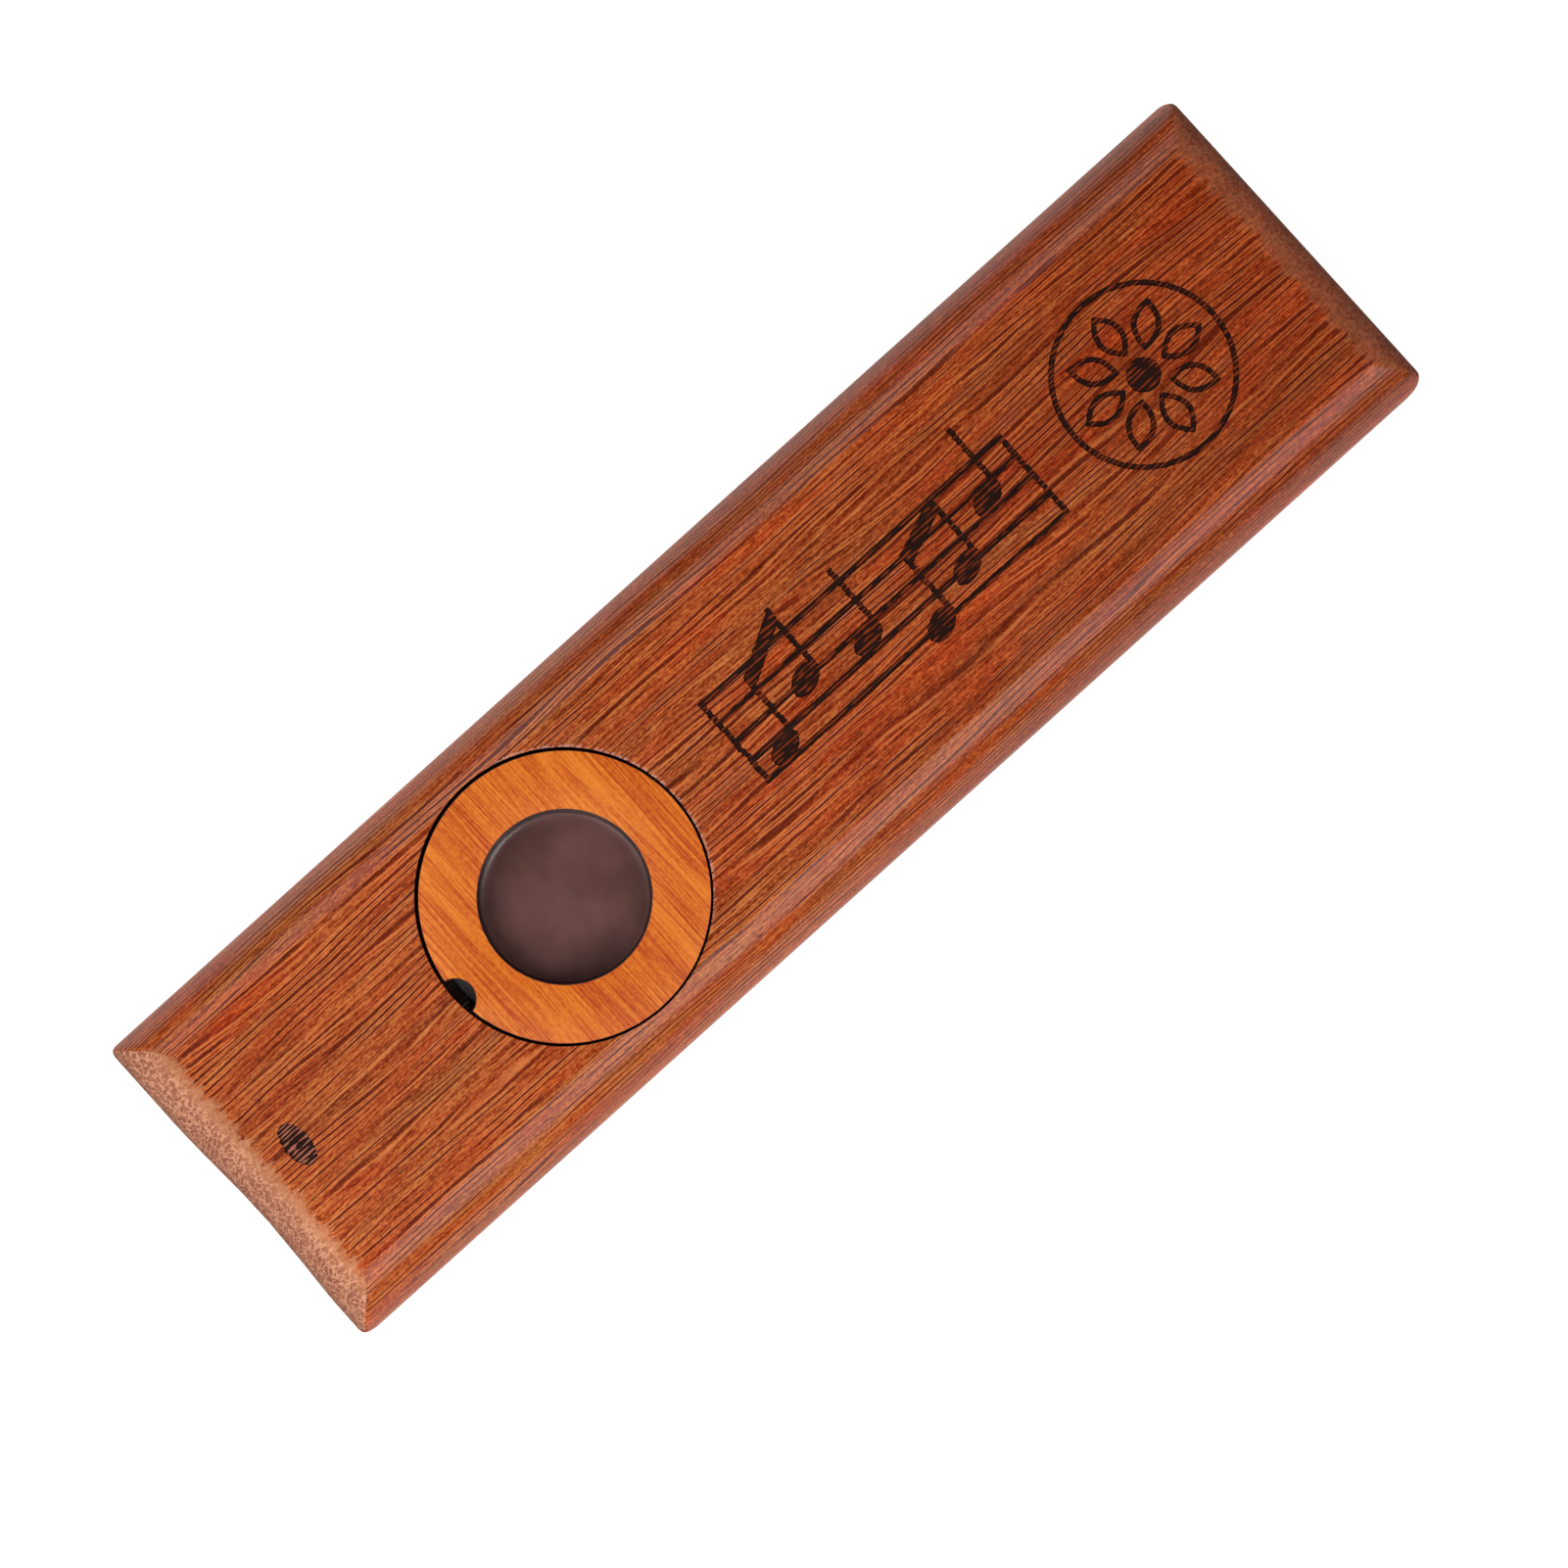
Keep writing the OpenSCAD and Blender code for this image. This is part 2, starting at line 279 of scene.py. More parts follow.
class Graph:
    """Adds nodes to one tree."""

    def __init__(self, tree):
        self.tree = tree

    def node(self, kind, settings=None, inputs=None, out=0):
        """One node: its settings first, then the values or links of its sockets."""
        made = self.tree.nodes.new(kind)
        for name, value in (settings or {}).items():
            if name == "stops":
                self.set_stops(made.color_ramp, value)
            else:
                setattr(made, name, value)
        for key, value in (inputs or {}).items():
            if isinstance(value, Term):
                self.tree.links.new(value.socket, made.inputs[key])
            else:
                made.inputs[key].default_value = value
        return Term(self, made.outputs[out]) if made.outputs else None

    @staticmethod
    def set_stops(ramp, stops):
        """Gives a colour ramp its stops, each a place and a colour."""
        while len(ramp.elements) < len(stops):
            ramp.elements.new(1)
        for element, (place, shade) in zip(ramp.elements, stops):
            element.position = place
            element.color = (*shade, 1)

    def math(self, operation, *values):
        """A Math node, or a Vector Math node where a value is a vector or a colour."""
        wide = any(isinstance(v, tuple) or isinstance(v, Term) and v.wide for v in values)
        if wide:
            values = [v if isinstance(v, (Term, tuple)) else (v,) * 3 for v in values]
        kind = "ShaderNodeVectorMath" if wide else "ShaderNodeMath"
        return self.node(kind, {"operation": operation}, dict(enumerate(values)))

    def split(self, vector):
        """The X, Y and Z of a vector."""
        first = self.node("ShaderNodeSeparateXYZ", inputs={0: vector})
        outputs = first.socket.node.outputs
        return [Term(self, socket) for socket in outputs]

    def join(self, x, y, z):
        """A vector from its X, Y and Z."""
        return self.node("ShaderNodeCombineXYZ", inputs={0: x, 1: y, 2: z})

    def step(self, value, low, high):
        """0 at low, 1 at high and smooth between; low may be the greater."""
        return self.node(
            "ShaderNodeMapRange",
            {"interpolation_type": "SMOOTHSTEP"},
            {"Value": value, "From Min": low, "From Max": high},
        )

    def greater(self, first, second):
        """The greater of two numbers."""
        return self.math("MAXIMUM", first, second)

    def noise(self, vector, detail=2.0, roughness=0.5, colour=False):
        """Noise about 0.5, or three such noises at once as a colour."""
        return self.node(
            "ShaderNodeTexNoise",
            inputs={"Vector": vector, "Scale": 1, "Detail": detail, "Roughness": roughness},
            out=1 if colour else 0,
        )


MATT_ROUGHNESS = 0.8
MATT_SPECULAR = 0.06


class Finish(Graph):
    """A material under construction, with its coordinates in millimetres."""

    def __init__(self, name):
        self.material = bpy.data.materials.new(name)
        self.material.use_nodes = True
        super().__init__(self.material.node_tree)
        self.tree.nodes.clear()
        self.place = self.node("ShaderNodeTexCoord", out=3) * (1 / MM)
        self.facing = self.node("ShaderNodeTexCoord", out=1)

    def mix(self, share, first, second):
        """first where share is 0, second where it is 1."""
        first, second = (c if isinstance(c, Term) else (*c, 1) for c in (first, second))
        return self.node(
            "ShaderNodeMix", {"data_type": "RGBA"}, {0: share, 6: first, 7: second}, out=2
        )

    def ramp(self, tone, deep, mid, light):
        """A wood's deep colour where tone is low, and its light one where it is high."""
        stops = [(0.15, deep), (0.5, mid), (0.85, light)]
        return self.node("ShaderNodeValToRGB", {"stops": stops}, {0: tone})

    def spots(self, at, size, shift=None, detail=1, colour=False):
        """Noise in spots of this size along X, Y and Z."""
        scaled = at * tuple(1 / side for side in size)
        if shift:
            scaled = scaled + shift
        return self.noise(scaled, detail=detail, colour=colour)

    def cells(self, at, size):
        """The distance to the nearest cell's middle, and a random grey for each cell."""
        inputs = {"Vector": at * tuple(1 / side for side in size), "Scale": 1}
        distance = self.node("ShaderNodeTexVoronoi", None, inputs)
        shade = Term(self, distance.socket.node.outputs["Color"])
        return distance, self.split(shade)[0]

    def reach(self, x, y):
        """How far a point is from an upright axis, from how far off it lies along X and Y."""
        return self.math("SQRT", x * x + y * y)

    def bump(self, height, depth):
        """height is from 0 to 1, and depth is what 1 stands for, in metres."""
        return self.node("ShaderNodeBump", None, {"Strength": 1, "Distance": depth, "Height": height})

    def surface(self, matt=None, **inputs):
        """Ends the material with a Principled surface; a socket is named in lower case with _.

        matt is where the surface has lost its gloss, from 0 to 1.
        """
        sockets = {}
        for key, value in inputs.items():
            sockets[key.title().replace("_", " ").replace("Ior", "IOR")] = value
        surface = self.node("ShaderNodeBsdfPrincipled", None, sockets)
        if matt:
            sockets.update({"Roughness": MATT_ROUGHNESS, "Specular IOR Level": MATT_SPECULAR})
            dull = self.node("ShaderNodeBsdfPrincipled", None, sockets)
            surface = self.node("ShaderNodeMixShader", None, {0: matt, 1: surface, 2: dull})
        self.node("ShaderNodeOutputMaterial", None, {"Surface": surface})
        return self.material


# Finishes


WOOD_SPECULAR = 0.25

# Where the body's wood changes and where light and shade are painted on it, as spans in millimetres
FAR_END_SHADE_X = (-30, 62)
FAR_SHADE_X = (-20, 20)
RIGHT_TO_LEFT_Y = (-6, 6)
CORNER_HIGHLIGHT_X = (-50, -57)
CORNER_HIGHLIGHT_Y = (3, -8)
CORNER_HIGHLIGHT_DEPTH = (1.0, 0.2)
END_SHADE_DEPTH = (0.3, 4.2)
END_DEEPEST_SHADE_DEPTH = (2.4, 4.0)
LOW_DEPTH = (1.5, 4.0)
SEAM_AWAY = (0.1, 0.03)

# The rills' spacing over the top and down the sides, and that of the streaks in a burnt mark
RILL_GAP = 0.62
RILL_DROP = 0.8
STREAK_GAP = 0.38
# The spacing of the ring's dark veins
VEIN_GAP = 0.9

# The part of the top that can hold burnt marks, how deep they are, and where their streaks are pale
MARKS_Y = (10.9, 10.7)
MARKS_FROM_X = (4.9, 5.1)
MARKS_TO_X = (116.2, 116.0)
BURN_FROM_DEPTH = (0.015, 0.05)
BURN_TO_DEPTH = (0.4, 0.3)
PALE_STREAKS_X = (-40, -48)

# The recess: its scorched wall, its ledge painted near black as shade, and its edge's pale chips that are
# partly a painted highlight
WALL_DEPTH = (0.08, 0.16)
LEDGE_SHADE_DEPTH = (1.0, 1.6)
LEDGE_SHADE_R = (10.6, 11.4)
CHIPS_AND_HIGHLIGHT_DEPTH = (0.1, 0.02)
CHIPS_AND_HIGHLIGHT_X = (2.0, 7.0)

PORE_DARK = (0.05, 0.01, 0.003)
BODY_SCORCH_AND_SHADE = (0.01, 0.004, 0.004)
RING_SCORCH = (0.01, 0.003, 0.005)


def tinted(shade, factor):
    """A colour made darker or lighter."""
    return tuple(c * factor for c in shade)


class BodyWood(Finish):
    """Open-pored hardwood whose grain runs along X through the whole block, so the ends show it cut.

    Each method from rills to recess_edge lays its marks over the shade that it is given.
    """

    def __init__(self, name, colours, sizes, grain_shift):
        super().__init__(name)
        self.colours = colours
        self.sizes = sizes
        self.x, self.y, self.z = self.split(self.place)
        self.facing_x, self.facing_y, self.facing_z = self.split(self.facing)
        self.depth = TOP / MM - self.z
        self.low = self.step(self.depth, *LOW_DEPTH)
        # far marks the far end, whose cut grain and end faces get painted shade
        self.far = self.step(self.x, *FAR_SHADE_X)
        # Painted shade: the wood is darkened from the mouth end towards the far end, where the light falls
        # off
        self.far_end_shade = self.step(self.x, *FAR_END_SHADE_X)

        self.at = self.place + grain_shift
        slow = self.spots(self.at, (70, 11, 11), colour=True)
        quick = self.spots(self.at, (7, 1.4, 1.4), colour=True)
        self.grain = self.at + (slow - 0.5) * (0.0, 3.0, 0.8) + (quick - 0.5) * (0.0, 0.3, 0.3)
        self.strands = self.spots(self.grain, (9, 0.28, 0.28))
        self.threads = self.spots(self.grain, (1.6, 0.15, 0.15))
        self.sway = self.spots(self.grain, (30, 2.5, 2.5), (11.0, 5.0, 9.0))
        self.mottle = self.spots(self.at, (0.35, 0.17, 0.17), detail=0)
        self.frays = self.spots(self.at, (1.5, 0.4, 0.4))

        # The ends show cut grain past the crease at either end, up to the mitre with the sides
        mouth_crease = (CAD_LOW.x + sizes.mouth_run) / MM
        far_crease = (CAD_HIGH.x - sizes.far_run) / MM
        self.past = abs(self.x - (mouth_crease + far_crease) / 2) - (far_crease - mouth_crease) / 2
        mitre = abs(self.facing_x) - abs(self.facing_y) + (self.mottle - 0.5) * 0.2
        self.mitre = self.step(mitre, -0.14, -0.04)
        teeth = self.spots(self.at, (4, 0.9, 0.9))
        edge = self.past + (self.mottle - 0.5) * 0.9 + (self.frays - 0.5) * 1.8 + (teeth - 0.5)
        self.ends = self.step(edge, -0.6, 0.6) * self.mitre

        self.off_x = self.x - MEMBRANE_X / MM
        self.radius = self.reach(self.off_x, self.y)
        self.recess_r = sizes.recess_d / 2 / MM
        self.recess = self.step(self.radius, self.recess_r + 0.32, self.recess_r + 0.18)

    def base(self):
        """Bands and fine threads, with a hue that drifts between a redder and a browner wood, and painted
        shade that darkens it towards the far end.
        """
        bands = self.spots(self.grain, (45, 2.2, 2.2))
        tone = bands * 0.6 + self.strands * 0.6 + self.threads + self.mottle * 0.75 - 0.97
        colours = self.colours
        shade = self.ramp(tone - self.far_end_shade * 0.17, colours.wood_deep, colours.wood_mid, colours.wood_light)
        drift = self.spots(self.grain, (12, 2, 2), (21.0, 2.0, 6.0)) - 0.5
        return shade * self.join(1 - drift * 0.4, 1 + drift * 0.9, 1 + drift * 1.5)

    def rills(self, shade):
        """Thin dark lines, each broken on its way and with a pale shoulder that is partly pale grain and
        partly a painted highlight.
        """
        _, across, _ = self.split(self.grain)
        outward = self.step(self.y, *RIGHT_TO_LEFT_Y) * 2 - 1
        fall = self.math("MINIMUM", self.depth, self.z)
        levels = across * (1 / RILL_GAP) + outward * fall * (1 / RILL_DROP) + self.sway * 4.0
        off_level = self.math("PINGPONG", levels, 0.5)
        breaks = self.spots(self.grain, (9, 0.8, 0.8), (3.0, 17.0, 5.0))
        strength = self.step(breaks, 0.38, 0.6) * (1 - self.ends * 0.85)
        self.rill = self.step(off_level, 0.24, 0.06) * strength
        # The pale shoulder is partly pale grain and partly a painted highlight, and less pale towards the
        # far end as painted shade
        shoulder = self.step(off_level, 0.2, 0.3) * self.step(off_level, 0.46, 0.34)
        shoulder = shoulder * (strength * 0.7 + 0.3)
        shoulder_and_highlight_colour = self.mix(self.far_end_shade * 0.5, self.colours.wood_pale, self.colours.wood_mid)
        shade = self.mix(shoulder * 0.7, shade, shoulder_and_highlight_colour)
        return self.mix(self.rill * 0.85, shade, tinted(self.colours.wood_deep, 0.6))

    def pores(self, shade):
        """A few short thin cells."""
        distance, grey = self.cells(self.grain, (1.6, 0.36, 0.36))
        self.pore = self.step(distance / self.greater(grey * 0.34 - 0.08, 0.02), 1.15, 0.6)
        return self.mix(self.pore * 0.6, shade, PORE_DARK)

    def end_grain(self, shade):
        """Fine pale walls between dark cut cells, which darken outwards from the crease partly as painted
        shade; at the far end the cut grain is painted in shade, darker and plainer.
        """
        worms = self.spots(self.at, (0.8, 0.5, 0.5))
        patches = self.spots(self.at, (0.5, 0.3, 0.3))
        grown = self.spots(self.at, (2.5, 2.0, 0.9), detail=2)
        walls = self.step(abs(worms - 0.5), 0.07, 0.02) * self.step(self.past, 0.2, 1.4) * 1.1
        walls = walls + (patches - 0.5) * 1.5 + (grown - 0.5) * 0.8 + 0.1
        # Planed end grain by the crease, turning outwards to darker pits; the darkening is partly painted
        # shade
        planed_to_shaded_pit = self.step(self.past, 0.2, 2.2)
        pit = self.mix(planed_to_shaded_pit, self.colours.wood_planed, self.colours.wood_pit)
        # Painted shade: at the far end the cells take the top's colour and the pale walls fade, so its cut
        # grain looks darker
        between = self.mix(self.far * 0.7, pit, shade)
        cut = self.mix(walls * (1 - self.far * 0.8), between, self.colours.wood_end)
        return self.mix(self.ends, shade, cut)

    def seam_and_painted_light(self, shade):
        """The glued seam's dark line, then painted light: painted shade on the ends, deepest at the far end
        and towards their lower edges, lighter lower long sides, and a painted highlight on the top by the
        mouth end's corner.
        """
        seam = self.step(abs(self.z - SEAM / MM), *SEAM_AWAY)
        shade = self.mix(seam * 0.7, shade, tinted(self.colours.wood_deep, 0.5))
        # Painted shade: the end faces are darkened towards their lower edges, much more at the far end,
        # which the light reaches least
        darker = self.step(self.depth, *END_SHADE_DEPTH) * (0.18 + self.far * 0.44)
        darker = darker + self.step(self.depth, *END_DEEPEST_SHADE_DEPTH) * 0.15
        # Painted light as well: the long sides' faces lower down are made a quarter lighter
        shade = shade * (1 - abs(self.facing_x) * darker + abs(self.facing_y) * self.low * 0.25)
        # Painted highlight: the top is lightened by the mouth end's corner on the -Y side, where the light
        # from beyond the mouth catches it
        corner_highlight = self.step(self.x, *CORNER_HIGHLIGHT_X) * self.step(self.y, *CORNER_HIGHLIGHT_Y)
        corner_highlight = corner_highlight * self.step(self.depth, *CORNER_HIGHLIGHT_DEPTH)
        return shade * (1 + corner_highlight * 0.2)

    def burnt_marks(self, shade):
        """Char below the top face, away from its edges and the recess, with streaks of grain."""
        from_mouth = self.x - CAD_LOW.x / MM
        inside = self.step(abs(self.y), *MARKS_Y) * self.step(from_mouth, *MARKS_FROM_X)
        inside = inside * self.step(from_mouth, *MARKS_TO_X) * (1 - self.recess)
        self.burn = self.step(self.depth, *BURN_FROM_DEPTH) * inside
        self.burn = self.burn * self.step(self.depth, *BURN_TO_DEPTH)
        pale = self.step(self.x, *PALE_STREAKS_X)
        stripe = self.math("PINGPONG", self.y / STREAK_GAP + self.sway * 3.0, 0.5)
        stripe = stripe + (self.frays - 0.5) * 1.2 + pale * 0.05
        streak = self.mix(pale, tinted(self.colours.wood_mid, 0.6), self.colours.burnt_streak)
        charred = self.mix(self.step(stripe, 0.36, 0.44), self.colours.burnt, streak)
        return self.mix(self.burn, shade, charred)

    def recess_edge(self, shade):
        """The recess's edge has pale chips towards the far end, partly a painted highlight; its wall is
        scorched, and its ledge is painted near black as shade.
        """
        # Partly a painted highlight: pale chips along the recess's edge, on its far side only
        chips_and_highlight = self.step(self.radius, self.recess_r + 0.3, self.recess_r + 0.12)
        chips_and_highlight = chips_and_highlight * self.step(self.depth, *CHIPS_AND_HIGHLIGHT_DEPTH)
        chips_and_highlight = chips_and_highlight * self.step(self.off_x + self.y * 0.4, *CHIPS_AND_HIGHLIGHT_X)
        chips_and_highlight = chips_and_highlight * self.step(self.mottle + (self.frays - 0.5), 0.42, 0.62)
        shade = self.mix(chips_and_highlight * 0.6, shade, self.colours.chip_and_highlight)
        wall = self.recess * self.step(abs(self.facing_z), 0.8, 0.4) * self.step(self.depth, *WALL_DEPTH)
        # Painted shade: the ledge under the ring, seen only through the gap and the notch, is painted near
        # black
        ledge = self.recess * self.step(self.depth, *LEDGE_SHADE_DEPTH) * self.step(self.radius, *LEDGE_SHADE_R)
        return self.mix(self.greater(wall * 0.92, ledge * 0.97), shade, BODY_SCORCH_AND_SHADE)


def body_wood(name, colours, sizes, grain_shift):
    """The whole finish of one half, glossy on the top and dull at the ends and in the marks."""
    made = BodyWood(name, colours, sizes, grain_shift)
    shade = made.base()
    for layer in (made.rills, made.pores, made.end_grain, made.seam_and_painted_light, made.burnt_marks, made.recess_edge):
        shade = layer(shade)
    relief = made.strands * 0.3 + made.threads * 0.3 - made.rill * 0.3 - made.pore * 0.2
    dull_ends = made.step(made.past, -1.0, -0.4) * made.mitre
    return made.surface(
        matt=made.greater(made.greater(dull_ends, made.low * 0.7), made.burn * 0.8),
        base_color=shade,
        roughness=0.24 + (made.threads - 0.5) * 0.15,
        specular_ior_level=WOOD_SPECULAR,
        normal=made.bump(relief, 0.025 * MM),
    )


def ring_wood(colours, sizes):
    """Varnished orange board whose grain runs across the kazoo, scorched where it was cut."""
    made = Finish("ring_wood")
    x, y, _ = made.split(made.place - (sizes.slip_x / MM, sizes.slip_y / MM, 0.0))
    warp = made.spots(made.place, (3, 16, 3), colour=True)
    at = made.place + (warp - 0.5) * (0.7, 0.0, 0.7)
    bands = made.spots(at, (1.6, 30, 1.6))
    lines = made.spots(at, (0.16, 9, 0.16))
    speckle = made.spots(at, (0.22, 0.4, 0.22))
    tone = bands * 0.7 + lines * 1.3 + speckle * 0.6 - 0.8
    shade = made.ramp(tone, colours.ring_deep, colours.ring_mid, colours.ring_light)

    across, _, _ = made.split(at)
    sway = made.spots(at, (4, 40, 4), (7.0, 3.0, 1.0))
    breaks = made.spots(at, (0.8, 7, 0.8), (2.0, 9.0, 4.0))
    off_vein = made.math("PINGPONG", across / VEIN_GAP + sway * 4.0, 0.5)
    vein = made.step(off_vein, 0.1, 0.03) * made.step(breaks, 0.42, 0.54)
    shade = made.mix(vein * 0.6, shade, colours.ring_deep)

    # Heat has scorched every edge that was cut, a little unevenly
    off_x = x - MEMBRANE_X / MM
    wobble = made.noise(made.place * 1.4, detail=2) * 0.06
    radius = made.reach(off_x, y)
    outer = made.step(radius + wobble, RING_R / MM - 0.02, RING_R / MM)
    window_r = sizes.window_d / 2 / MM
    inner = made.step(radius - wobble, window_r + 0.12, window_r + 0.06)
    notch_r = sizes.notch_d / 2 / MM
    notch_reach = (RING_R - sizes.notch_depth + sizes.notch_d / 2) / MM
    from_notch = made.reach(
        off_x + notch_reach * math.cos(sizes.turn), y + notch_reach * math.sin(sizes.turn)
    )
    notch = made.step(from_notch - wobble, notch_r + 0.09, notch_r + 0.03)
    _, _, facing_z = made.split(made.facing)
    cut = made.step(abs(facing_z), 0.75, 0.35)
    scorch = made.greater(made.greater(outer, inner), made.greater(notch, cut))
    shade = made.mix(scorch * 0.97, shade, RING_SCORCH)
    return made.surface(
        base_color=shade,
        roughness=0.34 + lines * 0.1,
        specular_ior_level=WOOD_SPECULAR,
        normal=made.bump(lines, 0.01 * MM),
    )


def film_finish(colours, sizes):
    """Glossy dark film, faintly clouded and creased, with painted shade that darkens it towards the window's
    edge and most in a thin band just inside it.
    """
    made = Finish("membrane_film_gloss")
    clouds = made.noise(made.place * (1 / 4.5), detail=3, roughness=0.55)
    film = colours.film
    shade = made.mix(made.step(clouds, 0.3, 0.75), tinted(film, 0.85), tinted(film, 1.25))
    x, y, _ = made.split(made.place)
    radius = made.reach(x - MEMBRANE_X / MM, y)
    window_r = sizes.window_d / 2 / MM
    # Painted shade: the film darkens towards the window's edge, and most in a thin band just inside it,
    # where the ring shades it
    shade = made.mix(made.step(radius, window_r * 0.45, window_r) * 0.1, shade, tinted(film, 0.3))
    edge = made.step(radius, window_r - 0.18, window_r - 0.08)
    shade = made.mix(edge * 0.8, shade, tinted(film, 0.15))
    ripple = made.noise(made.place * (1 / 2.6), detail=1)
    return made.surface(
        base_color=shade,
        roughness=0.17 + clouds * 0.08,
        coat_weight=0.6,
        coat_roughness=0.08,
        normal=made.bump(ripple, 0.02 * MM),
    )


def rim_finish(colours):
    """Matt black fibre board."""
    made = Finish("membrane_rim_board")
    fibres = made.noise(made.place * (6, 6, 14), detail=3)
    shade = made.mix(fibres, colours.card, tinted(colours.card, 2.2))
    return made.surface(base_color=shade, roughness=0.7 + fibres * 0.2, normal=made.bump(fibres, 0.02 * MM))


def magnet_finish(colours):
    """Bright nickel with a faint orange-peel and a few dull spots."""
    made = Finish("magnet_nickel")
    spots = made.noise(made.place * 2.2, detail=3)
    peel = made.noise(made.place * 9, detail=1)
    shade = made.mix(made.step(spots, 0.55, 0.75), colours.nickel, tinted(colours.nickel, 0.7))
    return made.surface(
        base_color=shade, metallic=1.0, roughness=0.16 + spots * 0.16, normal=made.bump(peel, 0.004 * MM)
    )


def floor_finish(colours):
    """Plain pale board, lit from below as a light table is, so that it throws no hard shadow."""
    made = Finish("floor_board")
    tooth = made.noise(made.place * (1 / 60), detail=2)
    return made.surface(
        base_color=made.mix(tooth, colours.floor, tinted(colours.floor, 0.985)),
        roughness=0.9,
        specular_ior_level=0.1,
        emission_color=(*colours.floor_glow, 1),
        emission_strength=0.86,
    )


# Shapes


def arc_radius(run, drop):
    """Radius of an arc that leaves the wall upright and reaches the flat at run."""
    return (run**2 + drop**2) / (2 * run)


def below_flat(inset, run, drop):
    """How far a rounding lies below the flat, inset from its wall; past its run it is above it."""
    radius = arc_radius(run, drop)
    reach = min(inset, radius)
    return drop - math.sqrt(radius**2 - (radius - reach) ** 2)


def soft_max(first, second, width):
    """The greater of two, eased where they are within width of each other."""
    apart = max(width - abs(first - second), 0)
    return max(first, second) + (apart**2 / (4 * width) if width else 0)


def rounding_lines(run, drop, steps, soften):
    """Where a rounding's grid lines lie, as distances from its wall."""
    radius = arc_radius(run, drop)
    turn = math.asin(drop / radius)
    arc = [radius * (1 - math.cos(turn * i / steps)) for i in range(steps)]
    return sorted(arc + [run + soften * i / 5 for i in range(-3, 6)])


def spread(low, high, near):
    """Evenly spaced places from low to high, both left out, about near apart."""
    count = max(2, round((high - low) / near))
    return [low + (high - low) * i / count for i in range(1, count)]


def new_piece(name, mesh):
    """A new object in the scene."""
    piece = bpy.data.objects.new(name, mesh)
    bpy.context.scene.collection.objects.link(piece)
    return piece


def piece_from(name, built):
    """A new object from a bmesh, with its faces turned outwards."""
    bmesh.ops.recalc_face_normals(built, faces=built.faces)
    mesh = bpy.data.meshes.new(name)
    built.to_mesh(mesh)
    built.free()
    return new_piece(name, mesh)


def bridge(built, near, far):
    """Joins two closed loops of as many corners."""
    for i in range(len(near)):
        j = (i + 1) % len(near)
        built.faces.new((near[i], far[i], far[j], near[j]))


def loft(name, rings, closed=False):
    """Joins closed loops of points one to the next; the ends are capped unless it closes on itself."""
    built = bmesh.new()
    loops = [[built.verts.new(point) for point in ring] for ring in rings]
    for near, far in zip(loops, loops[1:]):
        bridge(built, near, far)
    if closed:
        bridge(built, loops[-1], loops[0])
    else:
        built.faces.new(loops[0])
        built.faces.new(reversed(loops[-1]))
    return piece_from(name, built)


def oval(x, y, along, across, tilt=0.0, count=48):
    """Points round an oval."""
    right, up = math.cos(tilt), math.sin(tilt)
    points = []
    for i in range(count):
        turn = 2 * math.pi * i / count
        u, v = math.cos(turn) * along / 2, math.sin(turn) * across / 2
        points.append((x + u * right - v * up, y + u * up + v * right))
    return points


def circle(x, y, radius, count):
    """Points round a circle."""
    return oval(x, y, 2 * radius, 2 * radius, count=count)


def turned(name, profile, sides, closed=False):
    """A shape turned about the membrane's axis, from (radius, height) points."""
    rings = []
    for radius, height in profile:
        rings.append([(x, y, height) for x, y in circle(MEMBRANE_X, 0, radius, sides)])
    return loft(name, rings, closed)


def prisms(name, outlines, low, high):
    """Upright prisms, one for each outline."""
    built = bmesh.new()
    for outline in outlines:
        bottom = [built.verts.new((x, y, low)) for x, y in outline]
        top = [built.verts.new((x, y, high)) for x, y in outline]
        built.faces.new(bottom)
        built.faces.new(reversed(top))
        bridge(built, bottom, top)
    return piece_from(name, built)


def plain_mesh(piece):
    """Applies what modifiers are on a piece, and takes them off."""
    graph = bpy.context.evaluated_depsgraph_get()
    mesh = bpy.data.meshes.new_from_object(piece.evaluated_get(graph))
    piece.modifiers.clear()
    old = piece.data
    piece.data = mesh
    bpy.data.meshes.remove(old)
    return piece


def drop_slivers(piece):
    """Closes up the faces that a cut has left without any width, and splits those of many corners."""
    built = bmesh.new()
    built.from_mesh(piece.data)
    bmesh.ops.dissolve_degenerate(built, dist=SLIVER, edges=built.edges)
    bmesh.ops.triangulate(built, faces=[face for face in built.faces if len(face.verts) > 4])
    built.to_mesh(piece.data)
    built.free()


def carve(piece, cutters):
    """Takes each cutter away from the piece, and deletes the cutters."""
    for cutter in cutters:
        cut = piece.modifiers.new(cutter.name, "BOOLEAN")
        cut.operation = "DIFFERENCE"
        cut.solver = "MANIFOLD"
        cut.object = cutter
    plain_mesh(piece)
    drop_slivers(piece)
    for cutter in cutters:
        bpy.data.meshes.remove(cutter.data)
    return piece


def smooth(piece, sharpest=math.radians(24)):
    """Smooth shading, with the edges that are sharper than that kept sharp."""
    piece.data.polygons.foreach_set("use_smooth", [True] * len(piece.data.polygons))
    piece.data.set_sharp_from_angle(angle=sharpest)


def dress(piece, material, body, nodes):
    """Gives a finished piece its material, its body and the solids that it stands for."""
    piece.data.materials.clear()
    piece.data.materials.append(material)
    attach(piece, body)
    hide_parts(*nodes)


# Geometry nodes


